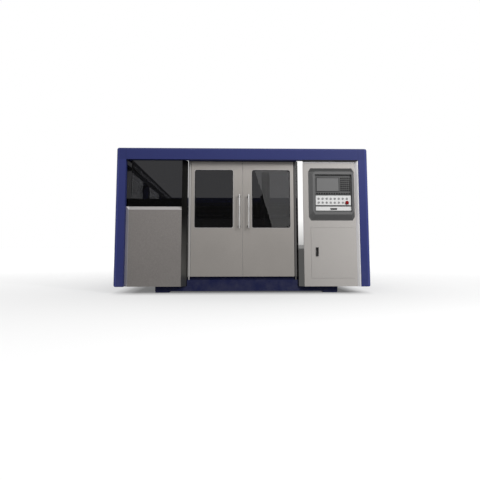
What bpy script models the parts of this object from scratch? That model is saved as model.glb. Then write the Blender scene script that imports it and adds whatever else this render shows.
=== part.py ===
"""Fiber laser cutting machine: portal front, two doors, control cabinet, gantry, slat pallet.

Metres. X to the right, Y to the back, Z up. The floor is Z = 0, the machine is centred over the origin.
"""

import math

import bmesh
import bpy
from mathutils import Matrix, Vector

# Overall size
WIDTH = 3.6
DEPTH = 6.2
HEIGHT = 2.055

# Gap between neighbours, distance at which spun points merge, step between joined faces,
# distance by which a cutter passes its part, and overlap of welded members
GAP = 0.0003
MERGE = 0.00001
FACE_STEP = 0.002
PASS = 0.01
LAP = 0.03

# Blue portal round the front
SKIRT = 0.09
PORTAL_DEPTH = 0.12
COLUMN_WIDTH = 0.135
BEAM_HEIGHT = 0.168
PORTAL_ROUND = 0.030
TOP_EDGE_SHARE = 0.3
HEADER_DEPTH = 0.09
HEADER_RISE = 0.03
HEADER_DROP = 0.03

# Front planes, counted back from the portal's front
PANEL_SETBACK = 0.05
DOOR_SETBACK = 0.14
SHEET = 0.003

# Side and rear walls
WALL = 0.1
WALL_DROP = 0.155
SIDE_MARGIN = 0.1
REAR_MARGIN = 0.02
POST_WIDTH = 0.1
FIRST_POST = 0.03
RAIL_HEIGHT = 0.19
PARAPET_TOP = 1.20
MID_POST_Y = 1.87
REAR_POST_Y = 4.20
WALL_CLEARANCE = 0.004
PANE = 0.006
PANE_LAP = 0.03

# Left bay and the bevelled strips beside the doors
BAY_PANEL_TOP = 1.213
BAY_CHAMFER = 0.047
STRIP_WIDTH = 0.077
DOORWAY_HALF = 0.792

# Doors
DOOR_BOTTOM = 0.223
DOOR_TOP_GAP = 0.006
DOOR_THICK = 0.04
DOOR_EDGE = 0.003
LEAF_MEET = 0.003
INNER_STILE = 0.137
OUTER_STILE = 0.071
WINDOW_BOTTOM = 0.915
TOP_STILE = 0.127
WINDOW_ROUND = 0.026
WINDOW_SINK = 0.004
PIVOT_MARGIN = 0.028
PIVOT_RADIUS = 0.021
PIN_RADIUS = 0.011
PIN_CLEARANCE = 0.001
PIN_REACH = 0.10
PIN_END_GAP = 0.004
HANDLE_LEFT_X = -0.046
HANDLE_RIGHT_X = 0.088
HANDLE_BOTTOM = 0.905
HANDLE_TOP = 1.396
HANDLE_RADIUS = 0.013
HANDLE_STANDOFF = 0.066
STANDOFF_INSET = 0.032
STANDOFF_FOOT = 0.021
STANDOFF_FOOT_THICK = 0.012
STANDOFF_TAPER = 0.004
STANDOFF_RADIUS = 0.0115

# Bed
BED_LEFT_AISLE = 0.365
BED_RIGHT_AISLE = 0.245
BED_BEAM = 0.25
BED_TOP = 0.90
BED_FLOOR_GAP = 0.02
BED_END_GAP = 0.01
BED_FRONT = 0.43
BED_WALL = 0.06
SILL_DROP = 0.045
SILL_SETBACK = 0.001
SILL_DEPTH = 0.08
FOOT = 0.195
FOOT_INSET = 0.004
LEDGE_DROP = 0.15
LEDGE_THICK = 0.04
LEDGE_REACH = 0.11
BED_WALL_DROP = 0.07
TUBE = 0.10
CROSS_PITCH = 1.6
STAY = 0.08
STAY_RISE = 0.02
LAST_STAY_GAP = 0.23

# Slat pallet
PALLET_SIDE_GAP = 0.06
PALLET_FRONT = 0.66
PALLET_REAR_GAP = 0.52
PALLET_FRAME = 0.05
PALLET_HEIGHT = 0.09
PALLET_OPENING = 0.05
SLAT_PITCH = 0.21
SLAT_THICK = 0.004
SLAT_RISE = 0.0897
SLAT_SEAT = 0.03
SLAT_END_GAP = 0.035
TOOTH_PITCH = 0.135
TOOTH_DEPTH = 0.03

# Scrap drawer under the pallet
SCRAP_SIDE_GAP = 0.25
SCRAP_FRONT = 0.90
SCRAP_HEIGHT = 0.305
SCRAP_SHEET = 0.006
SCRAP_OPENING = 0.012
SCRAP_PLATE = 0.02
GRIP_HALF = 0.16
GRIP_BOTTOM = 0.17
GRIP_BAR = 0.02

# Gantry
RAIL_SIZE = 0.03
RAIL_GROOVE = 0.006
RAIL_FRONT_GAP = 0.04
RAIL_REAR_GAP = 0.11
RACK_OFFSET = 0.08
RACK_SIZE = 0.026
GANTRY_Y = 1.0
BEAM_DEPTH = 0.22
BEAM_RISE = 0.20
BEAM_TALL = 0.225
BEAM_SIDE_GAP = 0.04
BEAM_ROUND = 0.01
BEAM_RAIL_END = 0.5
BEAM_RAIL_INSET = 0.03
BEAM_RAIL_TALL = 0.025
BEAM_RACK_TALL = 0.024
BEAM_RACK_SINK = 0.008
CARRIAGE_LENGTH = 0.42
CARRIAGE_WIDTH = 0.30
CARRIAGE_RISE = 0.06
BLOCK_LENGTH = 0.12
BLOCK_WIDTH = 0.08
BLOCK_INSET = 0.02
BLOCK_RISE = 0.006

# Head on the gantry
HEAD_X = 0.345
HEAD_OFFSET = 0.052
SLIDE_PLATE = 0.20
SLIDE_THICK = 0.025
SLIDE_DROP = 0.02
SLIDE_RISE = 0.03
HOUSING_INSET = 0.09
HOUSING_WIDTH = 0.12
HOUSING_DEPTH = 0.10
HOUSING_DROP = 0.025
HOUSING_TALL = 0.695
HEAD_BODY = 0.075
HEAD_BODY_RISE = 0.14
HEAD_BODY_TALL = 0.27
HEAD_BARREL = 0.032
HEAD_CONE = 0.06
HEAD_SEAT = 0.009
NOZZLE_CLEARANCE = 0.07
NOZZLE_TALL = 0.03
NOZZLE_RADIUS = 0.012
NOZZLE_MOUTH = 0.0035
NOZZLE_BORE = 0.002

# Control cabinet
CABINET_GAP = 0.003
CABINET_DEPTH = 0.37
CABINET_WALL = 0.004
CABINET_DOOR_INSET_LEFT = 0.103
CABINET_DOOR_INSET_RIGHT = 0.077
CABINET_DOOR_RISE = 0.114
CABINET_DOOR_DROP = 0.10
CABINET_DOOR_THICK = 0.018
CABINET_DOOR_PROUD = 0.002
CABINET_DOOR_SEAM = 0.0015
CABINET_DOOR_EDGE = 0.001
LATCH_INSET = 0.084
LATCH_BELOW_TOP = 0.296
LATCH_WIDTH = 0.042
LATCH_LENGTH = 0.110
LATCH_ROUND = 0.012
LATCH_PROUD = 0.014
SOURCE_SIDE_GAP = 0.10
SOURCE_FRONT_GAP = 0.06
SOURCE_BACK_GAP = 0.03
SOURCE_TALL = 0.57

# Console on the cabinet
CONSOLE_INSET_LEFT = 0.074
CONSOLE_INSET_RIGHT = 0.055
CONSOLE_DROP = 0.115
CONSOLE_TALL = 0.756
CONSOLE_CHAMFER_LEFT = 0.058
CONSOLE_CHAMFER_RIGHT = 0.022
CONSOLE_CHAMFER_TOP = 0.054
CONSOLE_CHAMFER_BOTTOM = 0.086
CONSOLE_CUT_X = 0.032
CONSOLE_CUT_Z = 0.052
RECESS_INSET_LEFT = 0.089
RECESS_INSET_RIGHT = 0.044
RECESS_RISE = 0.123
RECESS_DROP = 0.095
RECESS_DEPTH = 0.036
SCREEN_INSET = 0.028
SCREEN_DROP = 0.048
SCREEN_RISE = 0.020
SCREEN_THICK = 0.006
KEYPAD_WIDTH = 0.149
KEYPAD_INSET = 0.014
KEYPAD_DROP = 0.038
KEYPAD_RISE = 0.016
KEYPAD_GAP = 0.020
KEY_COLUMNS = 5
KEY_ROWS = 7
KEY_MARGIN = 0.14
KEY_BASE = 0.003
KEY_TALL = 0.006
ROW_INSET = 0.013
ROW_RISE = 0.012
ROW_TALL = 0.031
ROW_KEYS = 14
PLATE_INSET = 0.012
PLATE_RISE = 0.022
PLATE_TALL = 0.138
PLATE_THICK = 0.008
PLATE_LAP_X = 0.015
PLATE_LAP_Z = 0.010
BUTTON_INSET = 0.042
BUTTON_EDGE = 0.059
BUTTON_COLUMNS = 8
BUTTON_DROP = 0.046
BUTTON_RISE = 0.036
BUTTON_FILL = 0.45
BUTTON_PROUD = 0.008
BUTTON_LENGTH = 0.026
BUTTON_EDGE_ROUND = 0.002
BUTTON_CLEARANCE = 0.0008
STOP_FILL = 0.90
STOP_STEM = 0.012
STOP_UNDERSIDE = 0.008
STOP_RIM = 0.010
STOP_SHOULDER = 0.016
STOP_DOME = 0.021
STOP_TOP = 0.024

# Keyboard drawer
DRAWER_INSET_LEFT = 0.013
DRAWER_INSET_RIGHT = 0.008
DRAWER_RISE = 0.019
DRAWER_TALL = 0.056
DRAWER_DEPTH = 0.21
DRAWER_WALL = 0.004
DRAWER_FRONT = 0.018
DRAWER_CLEARANCE = 0.001
NOTCH_TOP_WIDTH = 0.105
NOTCH_BOTTOM_WIDTH = 0.091
NOTCH_RISE = 0.009
NOTCH_DROP = 0.021
NOTCH_DEPTH = 0.012

# Places that follow from the sizes
FRONT = -DEPTH / 2
INNER = WIDTH / 2 - COLUMN_WIDTH
OPENING_TOP = HEIGHT - BEAM_HEIGHT
DOOR_TOP = OPENING_TOP - DOOR_TOP_GAP
WINDOW_TOP = DOOR_TOP - TOP_STILE
PIVOT_X = DOORWAY_HALF - PIVOT_MARGIN
LEAF_OUTER = PIVOT_X - PIVOT_RADIUS - GAP
SILL_FRONT = DOOR_SETBACK + SILL_SETBACK
SILL_TOP = DOOR_BOTTOM - SILL_DROP
BAY_WINDOW_Y = PANEL_SETBACK + BAY_CHAMFER + SHEET
WALL_INNER = WIDTH / 2 - SIDE_MARGIN - WALL
WALL_OUTER = WALL_INNER + WALL
WALL_TOP = HEIGHT - WALL_DROP
REAR_WALL_Y = DEPTH - REAR_MARGIN - WALL
BED_LEFT = BED_LEFT_AISLE - WALL_INNER
BED_RIGHT = WALL_INNER - BED_RIGHT_AISLE
BED_END = REAR_WALL_Y - BED_END_GAP
LEDGE_TOP = BED_TOP - LEDGE_DROP
BED_WALL_TOP = LEDGE_TOP - BED_WALL_DROP
PALLET_LEFT = BED_LEFT + BED_BEAM + PALLET_SIDE_GAP
PALLET_RIGHT = BED_RIGHT - BED_BEAM - PALLET_SIDE_GAP
PALLET_END = REAR_WALL_Y - PALLET_REAR_GAP
PALLET_TOP = LEDGE_TOP + GAP + PALLET_HEIGHT
SLAT_TIP = PALLET_TOP + SLAT_RISE
SCRAP_LEFT = BED_LEFT + BED_BEAM + SCRAP_SIDE_GAP
SCRAP_RIGHT = BED_RIGHT - BED_BEAM - SCRAP_SIDE_GAP
SCRAP_BOTTOM = BED_FLOOR_GAP + TUBE + GAP
SCRAP_TOP = SCRAP_BOTTOM + SCRAP_HEIGHT
RAIL_START = BED_FRONT + RAIL_FRONT_GAP
RAIL_END = REAR_WALL_Y - RAIL_REAR_GAP
RAIL_BOTTOM = BED_TOP + GAP
BEAM_BOTTOM = BED_TOP + BEAM_RISE
BEAM_TOP = BEAM_BOTTOM + BEAM_TALL
BEAM_HALF = WALL_INNER - BEAM_SIDE_GAP
BEAM_RAIL_FRONT = GANTRY_Y - RAIL_SIZE
SLIDE_BACK = BEAM_RAIL_FRONT - GAP
SLIDE_FRONT = SLIDE_BACK - SLIDE_THICK
HOUSING_FRONT = SLIDE_FRONT - HOUSING_DEPTH
HOUSING_LEFT = HEAD_X - SLIDE_PLATE / 2 + HOUSING_INSET
HOUSING_BOTTOM = BEAM_BOTTOM + HOUSING_DROP
NOZZLE_TIP = SLAT_TIP + NOZZLE_CLEARANCE
HEAD_TIP = NOZZLE_TIP + NOZZLE_TALL
HEAD_BODY_BOTTOM = HEAD_TIP + HEAD_BODY_RISE
CABINET_LEFT = DOORWAY_HALF + STRIP_WIDTH + CABINET_GAP
CABINET_RIGHT = INNER - GAP
CABINET_BACK = PANEL_SETBACK + CABINET_DEPTH
CONSOLE_LEFT = CABINET_LEFT + CONSOLE_INSET_LEFT
CONSOLE_RIGHT = INNER - CONSOLE_INSET_RIGHT
CONSOLE_TOP = OPENING_TOP - CONSOLE_DROP
CONSOLE_BOTTOM = CONSOLE_TOP - CONSOLE_TALL
CABINET_DOOR_LEFT = CABINET_LEFT + CABINET_DOOR_INSET_LEFT
CABINET_DOOR_RIGHT = INNER - CABINET_DOOR_INSET_RIGHT
CABINET_DOOR_BOTTOM = SKIRT + CABINET_DOOR_RISE
CABINET_DOOR_TOP = CONSOLE_BOTTOM - CABINET_DOOR_DROP
CABINET_DOOR_Y = PANEL_SETBACK - CABINET_DOOR_PROUD
RECESS_LEFT = CONSOLE_LEFT + RECESS_INSET_LEFT
RECESS_RIGHT = CONSOLE_RIGHT - RECESS_INSET_RIGHT
RECESS_BOTTOM = CONSOLE_BOTTOM + RECESS_RISE
RECESS_TOP = CONSOLE_TOP - RECESS_DROP
RECESS_FLOOR = RECESS_DEPTH - GAP
PLATE_FACE = RECESS_FLOOR - PLATE_THICK
DRAWER_LEFT = RECESS_LEFT + DRAWER_INSET_LEFT
DRAWER_RIGHT = RECESS_RIGHT - DRAWER_INSET_RIGHT
DRAWER_BOTTOM = RECESS_BOTTOM + DRAWER_RISE
DRAWER_TOP = DRAWER_BOTTOM + DRAWER_TALL
PLATE_LEFT = RECESS_LEFT + PLATE_INSET
PLATE_RIGHT = RECESS_RIGHT - PLATE_INSET
PLATE_BOTTOM = DRAWER_TOP + PLATE_RISE
PLATE_TOP = PLATE_BOTTOM + PLATE_TALL
BUTTON_LEFT = PLATE_LEFT + BUTTON_INSET
BUTTON_PITCH = (PLATE_RIGHT - BUTTON_EDGE - BUTTON_LEFT) / (BUTTON_COLUMNS - 1)
BUTTON_RADIUS = BUTTON_PITCH * BUTTON_FILL / 2
STOP_RADIUS = BUTTON_PITCH * STOP_FILL / 2
ROW_LEFT = RECESS_LEFT + ROW_INSET
ROW_BOTTOM = PLATE_TOP + ROW_RISE
ROW_TOP = ROW_BOTTOM + ROW_TALL
KEYPAD_RIGHT = RECESS_RIGHT - KEYPAD_INSET
KEYPAD_LEFT = KEYPAD_RIGHT - KEYPAD_WIDTH

COLOURS = {
    "blue_paint": ((0.035, 0.042, 0.145), 0.0, 0.45),
    "grey_paint": ((0.30, 0.28, 0.27), 0.0, 0.5),
    "light_grey_paint": ((0.42, 0.40, 0.38), 0.0, 0.5),
    "dark_grey_paint": ((0.10, 0.10, 0.10), 0.0, 0.5),
    "gloss_strip": ((0.55, 0.55, 0.55), 0.9, 0.12),
    "tinted_glass": ((0.02, 0.02, 0.022), 0.0, 0.05),
    "screen_glass": ((0.17, 0.17, 0.17), 0.0, 0.2),
    "black_plastic": ((0.03, 0.03, 0.03), 0.0, 0.5),
    "white_plastic": ((0.66, 0.66, 0.66), 0.0, 0.4),
    "grey_plastic": ((0.35, 0.35, 0.35), 0.0, 0.4),
    "red_plastic": ((0.35, 0.01, 0.01), 0.0, 0.35),
    "bright_steel": ((0.60, 0.60, 0.61), 1.0, 0.3),
    "raw_steel": ((0.28, 0.27, 0.26), 1.0, 0.55),
    "aluminium": ((0.70, 0.70, 0.71), 1.0, 0.35),
    "copper": ((0.65, 0.32, 0.18), 1.0, 0.3),
}


def clear_scene():
    for item in list(bpy.data.objects):
        bpy.data.objects.remove(item, do_unlink=True)


def new_collection(name):
    group = bpy.data.collections.new(name)
    bpy.context.scene.collection.children.link(group)
    return group


def make_materials():
    slots = {}
    for name, (colour, metallic, roughness) in COLOURS.items():
        slot = bpy.data.materials.new(name)
        slot.use_nodes = True
        shader = slot.node_tree.nodes["Principled BSDF"]
        shader.inputs["Base Color"].default_value = (*colour, 1.0)
        shader.inputs["Metallic"].default_value = metallic
        shader.inputs["Roughness"].default_value = roughness
        slots[name] = slot
    return slots


clear_scene()
PARTS = new_collection("fiber_laser_cutting_machine")
CUTTERS = new_collection("cutters")
MATERIALS = make_materials()


def add_object(name, bm, slot):
    """Puts the mesh in the scene, as a part with its material, or as a hidden cutter when slot is None."""
    bmesh.ops.recalc_face_normals(bm, faces=bm.faces)
    mesh = bpy.data.meshes.new(name)
    bm.to_mesh(mesh)
    bm.free()
    item = bpy.data.objects.new(name, mesh)
    if slot is None:
        CUTTERS.objects.link(item)
        item.hide_render = True
        item.display_type = "WIRE"
    else:
        PARTS.objects.link(item)
        mesh.materials.append(MATERIALS[slot])
    return item


def add_box(bm, low, high):
    """Adds one box; y counts back from the portal's front."""
    size = Vector(high) - Vector(low)
    middle = (Vector(high) + Vector(low)) / 2 + Vector((0, FRONT, 0))
    place = Matrix.Translation(middle) @ Matrix.Diagonal((*size, 1.0))
    bmesh.ops.create_cube(bm, size=1.0, matrix=place)


def boxes(name, corners, slot=None):
    bm = bmesh.new()
    for low, high in corners:
        add_box(bm, low, high)
    return add_object(name, bm, slot)


def prism(name, outline, low, high, axis, slot=None):
    """Extrudes a closed outline along an axis. The outline's pairs are the two other axes in order."""
    bm = bmesh.new()
    add_prism(bm, outline, low, high, axis)
    return add_object(name, bm, slot)


def add_prism(bm, outline, low, high, axis):
    def point(pair, level):
        spot = list(pair)
        spot.insert(axis, level)
        return Vector(spot) + Vector((0, FRONT, 0))

    ring = [bm.verts.new(point(pair, low)) for pair in outline]
    face = bm.faces.new(ring)
    raised = bmesh.ops.extrude_face_region(bm, geom=[face])
    shift = Vector([high - low if index == axis else 0.0 for index in range(3)])
    moved = [item for item in raised["geom"] if isinstance(item, bmesh.types.BMVert)]
    bmesh.ops.translate(bm, verts=moved, vec=shift)


def add_turned(bm, profile, centre, axis, segments):
    """Spins (radius, height) pairs round an axis through centre, and closes both ends."""
    closed = [(0.0, profile[0][1]), *profile, (0.0, profile[-1][1])]
    spin_outline(bm, closed, centre, axis, segments)


def add_ring(bm, profile, centre, axis, segments):
    """Spins a closed (radius, height) outline round an axis, which leaves a bore through it."""
    spin_outline(bm, [*profile, profile[0]], centre, axis, segments)


def spin_outline(bm, outline, centre, axis, segments):
    middle = Vector(centre) + Vector((0, FRONT, 0))
    turn = {1: Matrix.Rotation(math.radians(90), 4, "X"), 2: Matrix.Identity(4)}[axis]
    place = Matrix.Translation(middle) @ turn
    spots = [bm.verts.new(place @ Vector((radius, 0.0, height))) for radius, height in outline]
    edges = [bm.edges.new(pair) for pair in zip(spots, spots[1:])]
    bmesh.ops.spin(bm, geom=spots + edges, cent=middle, axis=turn.to_3x3() @ Vector((0, 0, 1)),
                   angle=math.tau, steps=segments)
    bmesh.ops.remove_doubles(bm, verts=bm.verts, dist=MERGE)


def turned(name, profile, centre, axis, segments, slot=None):
    bm = bmesh.new()
    add_turned(bm, profile, centre, axis, segments)
    item = add_object(name, bm, slot)
    soften(item)
    return item


def soften(item):
    """Smooth shading on the round faces, with crisp edges kept where faces meet sharply."""
    mesh = item.data
    for polygon in mesh.polygons:
        polygon.use_smooth = True
    mesh.set_sharp_from_angle(angle=math.radians(35))


def combine(item, tool, operation):
    step = item.modifiers.new(operation.lower(), "BOOLEAN")
    step.operation = operation
    step.solver = "EXACT"
    step.object = tool
    return item


def cut(item, tool):
    return combine(item, tool, "DIFFERENCE")


def join(item, tool):
    return combine(item, tool, "UNION")


def bevel(item, width, segments):
    step = item.modifiers.new("edges", "BEVEL")
    step.width = width
    step.segments = segments
    step.limit_method = "ANGLE"
    step.angle_limit = math.radians(40)
    return item


def pivot_at(item, point):
    """Moves an item's origin onto its joint; y counts back from the portal's front."""
    spot = Vector(point) + Vector((0, FRONT, 0))
    item.data.transform(Matrix.Translation(-spot))
    item.location = spot
    return item


def rounded_outline(left, bottom, right, top, radius, steps):
    outline = []
    corners = (
        (right - radius, top - radius, 0),
        (left + radius, top - radius, 90),
        (left + radius, bottom + radius, 180),
        (right - radius, bottom + radius, 270),
    )
    for x, z, start in corners:
        for step in range(steps + 1):
            turn = math.radians(start + 90 * step / steps)
            outline.append((x + radius * math.cos(turn), z + radius * math.sin(turn)))
    return outline


def build_portal():
    """One welded frame: two columns, the beam over them, and the header that takes the door pins."""
    half = WIDTH / 2
    outline = (
        (-half, SKIRT), (-INNER, SKIRT), (-INNER, OPENING_TOP), (INNER, OPENING_TOP),
        (INNER, SKIRT), (half, SKIRT), (half, HEIGHT), (-half, HEIGHT),
    )
    portal = prism("portal_frame", outline, 0.0, PORTAL_DEPTH, 1, "blue_paint")
    round_outer_edges(portal, half)
    header = boxes("header_block", [(
        (-DOORWAY_HALF, PORTAL_DEPTH - LAP, OPENING_TOP + HEADER_RISE),
        (DOORWAY_HALF, PORTAL_DEPTH + HEADER_DEPTH, HEIGHT - HEADER_DROP),
    )])
    join(portal, header)
    return cut(portal, pin_sockets("header_sockets", DOOR_TOP, DOOR_TOP + PIN_REACH))


def round_outer_edges(portal, half):
    """Rounds the columns' outer edges and the top corners, and the beam's long top edges less."""
    mesh = portal.data
    weights = mesh.attributes.new("bevel_weight_edge", "FLOAT", "EDGE")
    for edge in mesh.edges:
        ends = [mesh.vertices[index].co for index in edge.vertices]
        if all(abs(spot.x) > half - GAP for spot in ends):
            weights.data[edge.index].value = 1.0
        elif all(spot.z > HEIGHT - GAP for spot in ends):
            weights.data[edge.index].value = TOP_EDGE_SHARE
    step = portal.modifiers.new("outer_edges", "BEVEL")
    step.width = PORTAL_ROUND
    step.segments = 4
    step.limit_method = "WEIGHT"


def pin_sockets(name, low, high):
    bm = bmesh.new()
    centre_y = DOOR_SETBACK + DOOR_THICK / 2
    radius = PIN_RADIUS + PIN_CLEARANCE
    for side in (-1, 1):
        profile = ((radius, 0.0), (radius, high - low))
        add_turned(bm, profile, (side * PIVOT_X, centre_y, low), 2, 16)
    return add_object(name, bm, None)


def extrude_edges(bm, edges, shift):
    """Extrudes a chain of edges by a shift and returns the new points and edges."""
    raised = bmesh.ops.extrude_edge_only(bm, edges=edges)["geom"]
    points = [item for item in raised if isinstance(item, bmesh.types.BMVert)]
    bmesh.ops.translate(bm, verts=points, vec=shift)
    return points, [item for item in raised if isinstance(item, bmesh.types.BMEdge)]


def build_left_bay():
    """Folded grey panel with chamfered top and left edges, and the tinted pane above it."""
    left = -INNER + GAP
    right = -DOORWAY_HALF - STRIP_WIDTH - GAP
    front = PANEL_SETBACK
    deep = front + BAY_CHAMFER
    bm = bmesh.new()
    fold = ((left, PORTAL_DEPTH), (left, deep), (left + BAY_CHAMFER, front), (right, front))
    spots = [bm.verts.new((x, FRONT + y, SKIRT)) for x, y in fold]
    edges = [bm.edges.new(pair) for pair in zip(spots, spots[1:])]
    edges = extrude_edges(bm, edges, (0, 0, BAY_PANEL_TOP - BAY_CHAMFER - SKIRT))[1]
    points, edges = extrude_edges(bm, edges, (0, 0, BAY_CHAMFER))
    for point in points:
        point.co.y = max(point.co.y, FRONT + deep)
    shelf = [edge for edge in edges if all(end.co.y < FRONT + deep + GAP for end in edge.verts)]
    extrude_edges(bm, shelf, (0, PORTAL_DEPTH - deep, 0))
    bmesh.ops.remove_doubles(bm, verts=bm.verts, dist=MERGE)
    panel = add_object("left_front_panel", bm, "grey_paint")
    step = panel.modifiers.new("sheet", "SOLIDIFY")
    step.thickness = SHEET
    step.offset = -1.0
    step.use_even_offset = True
    boxes("left_window", [(
        (left, BAY_WINDOW_Y, BAY_PANEL_TOP + GAP), (right, BAY_WINDOW_Y + PANE, OPENING_TOP - GAP),
    )], "tinted_glass")


def build_corner_strips():
    """Folded strips at 45 degrees between the front panels and the doors."""
    near, far = DOORWAY_HALF + STRIP_WIDTH - GAP, DOORWAY_HALF
    front, back = PANEL_SETBACK, DOOR_SETBACK
    for side, name in ((-1, "left_corner_strip"), (1, "right_corner_strip")):
        outline = [
            (side * near, front), (side * far, back - SHEET), (side * far, back),
            (side * (far + SHEET), back), (side * near, front + 2 * SHEET),
        ]
        prism(name, outline, SKIRT, OPENING_TOP - GAP, 2, "gloss_strip")


def build_bed():
    """Welded bed: side beams, front and rear walls, cross tubes, ledges, stays, sill and feet."""
    low = BED_FLOOR_GAP
    left, right = BED_LEFT + BED_BEAM, BED_RIGHT - BED_BEAM
    bed = boxes("bed_frame", [
        ((BED_LEFT, BED_FRONT, low), (left, BED_END, BED_TOP)),
        ((right, BED_FRONT, low), (BED_RIGHT, BED_END, BED_TOP)),
    ], "blue_paint")
    scrap_lintel = SCRAP_TOP + 2 * SCRAP_OPENING
    walls = [
        ((left - LAP, BED_FRONT + FACE_STEP, low + FACE_STEP),
         (right + LAP, BED_FRONT + BED_WALL, BED_WALL_TOP)),
        ((left - LAP, BED_END - BED_WALL, scrap_lintel),
         (right + LAP, BED_END - FACE_STEP, BED_WALL_TOP)),
    ]
    for index in range(int(BED_END / CROSS_PITCH)):
        y = (index + 1) * CROSS_PITCH
        walls.append(((left - LAP, y, low + 2 * FACE_STEP), (right + LAP, y + TUBE, low + TUBE)))
    join(bed, boxes("bed_walls", walls))
    ledge_front = BED_FRONT + BED_WALL + FACE_STEP
    ledges = []
    for near, far in ((left - LAP, left + LEDGE_REACH), (right - LEDGE_REACH, right + LAP)):
        ledges.append((
            (near, ledge_front, LEDGE_TOP - LEDGE_THICK), (far, BED_END - 2 * FACE_STEP, LEDGE_TOP),
        ))
    join(bed, boxes("bed_ledges", ledges))
    join(bed, boxes("bed_plinth", [(
        (BED_LEFT, SILL_FRONT, low), (BED_RIGHT, BED_FRONT + LAP, SKIRT - FACE_STEP),
    )]))
    join(bed, boxes("bed_sill", [(
        (-DOORWAY_HALF + FACE_STEP, SILL_FRONT + GAP, low + FACE_STEP),
        (DOORWAY_HALF - FACE_STEP, SILL_FRONT + SILL_DEPTH, SILL_TOP),
    )]))
    join(bed, boxes("bed_stays", bed_stays()))
    join(bed, boxes("bed_feet", bed_feet()))
    return cut(bed, pin_sockets("sill_sockets", DOOR_BOTTOM - PIN_REACH, DOOR_BOTTOM))


def bed_stays():
    """Boxes of the stays that carry the side walls from the bed."""
    low = SKIRT + STAY_RISE
    stays = []
    for y in (MID_POST_Y, REAR_POST_Y, REAR_WALL_Y - LAST_STAY_GAP):
        for near, far in ((-WALL_INNER + GAP, BED_LEFT + LAP), (BED_RIGHT - LAP, WALL_INNER - GAP)):
            stays.append(((near, y, low), (far, y + STAY, low + STAY)))
    return stays


def bed_feet():
    feet = []
    for left in (BED_LEFT + FOOT_INSET, BED_RIGHT - FOOT - FOOT_INSET):
        for y in (SILL_FRONT + FOOT_INSET, DEPTH / 2, BED_END - FOOT - FOOT_INSET):
            feet.append(((left, y, 0.0), (left + FOOT, y + FOOT, BED_FLOOR_GAP + FACE_STEP)))
    return feet


def build_walls():
    """Boxed side walls with window openings, their outer panes, and the rear wall."""
    build_side_wall("left", -1, PORTAL_DEPTH + WALL_CLEARANCE / 2, FIRST_POST)
    build_side_wall("right", 1, CABINET_BACK + WALL_CLEARANCE, POST_WIDTH)
    rear = boxes("rear_wall", [(
        (-WALL_OUTER, REAR_WALL_Y, SKIRT), (WALL_OUTER, REAR_WALL_Y + WALL, WALL_TOP),
    )], "blue_paint")
    return cut(rear, boxes("rear_openings", [
        ((PALLET_LEFT - PALLET_OPENING, REAR_WALL_Y - PASS, BED_WALL_TOP + PASS),
         (PALLET_RIGHT + PALLET_OPENING, DEPTH + PASS, SLAT_TIP + PALLET_OPENING + PASS)),
        ((SCRAP_LEFT - SCRAP_OPENING, REAR_WALL_Y - PASS, SCRAP_BOTTOM - SCRAP_OPENING / 2),
         (SCRAP_RIGHT + SCRAP_OPENING, DEPTH + PASS, SCRAP_TOP + SCRAP_OPENING)),
    ]))


def build_side_wall(name, side, start, first_post):
    near, far = sorted((side * WALL_INNER, side * WALL_OUTER))
    end = REAR_WALL_Y - GAP
    first = start + first_post
    sill, lintel = PARAPET_TOP, WALL_TOP - RAIL_HEIGHT
    wall = boxes(name + "_side_wall", [((near, start, SKIRT), (far, end, WALL_TOP))], "blue_paint")
    holes = []
    for low, high in (
        (first, MID_POST_Y), (MID_POST_Y + POST_WIDTH, REAR_POST_Y),
        (REAR_POST_Y + POST_WIDTH, end - POST_WIDTH),
    ):
        holes.append(((near - PASS, low, sill), (far + PASS, high, lintel)))
    cut(wall, boxes(name + "_wall_holes", holes))
    near, far = sorted((side * (WALL_OUTER + GAP), side * (WALL_OUTER + GAP + PANE)))
    boxes(name + "_side_window", [(
        (near, first - PANE_LAP / 2, sill - PANE_LAP),
        (far, end - POST_WIDTH + PANE_LAP, lintel + PANE_LAP),
    )], "tinted_glass")


def rail_lines():
    """X of the left and right gantry rails."""
    return (BED_LEFT + BED_BEAM / 2, BED_RIGHT - BED_BEAM / 2)


def build_rails():
    """Waisted rails on the bed's beams, each with a rack beside it."""
    low, high = RAIL_BOTTOM, RAIL_BOTTOM + RAIL_SIZE
    half, quarter = RAIL_SIZE / 2, RAIL_SIZE / 4
    waist = half - RAIL_GROOVE
    for x, side, name in zip(rail_lines(), (-1, 1), ("left", "right")):
        outline = (
            (x - half, low), (x + half, low), (x + half, low + quarter), (x + waist, low + half),
            (x + half, high - quarter), (x + half, high), (x - half, high),
            (x - half, high - quarter), (x - waist, low + half), (x - half, low + quarter),
        )
        prism(name + "_gantry_rail", outline, RAIL_START, RAIL_END, 1, "bright_steel")
        rack = x + side * RACK_OFFSET
        boxes(name + "_gantry_rack", [(
            (rack - RACK_SIZE / 2, RAIL_START, low), (rack + RACK_SIZE / 2, RAIL_END, low + RACK_SIZE),
        )], "raw_steel")


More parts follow.
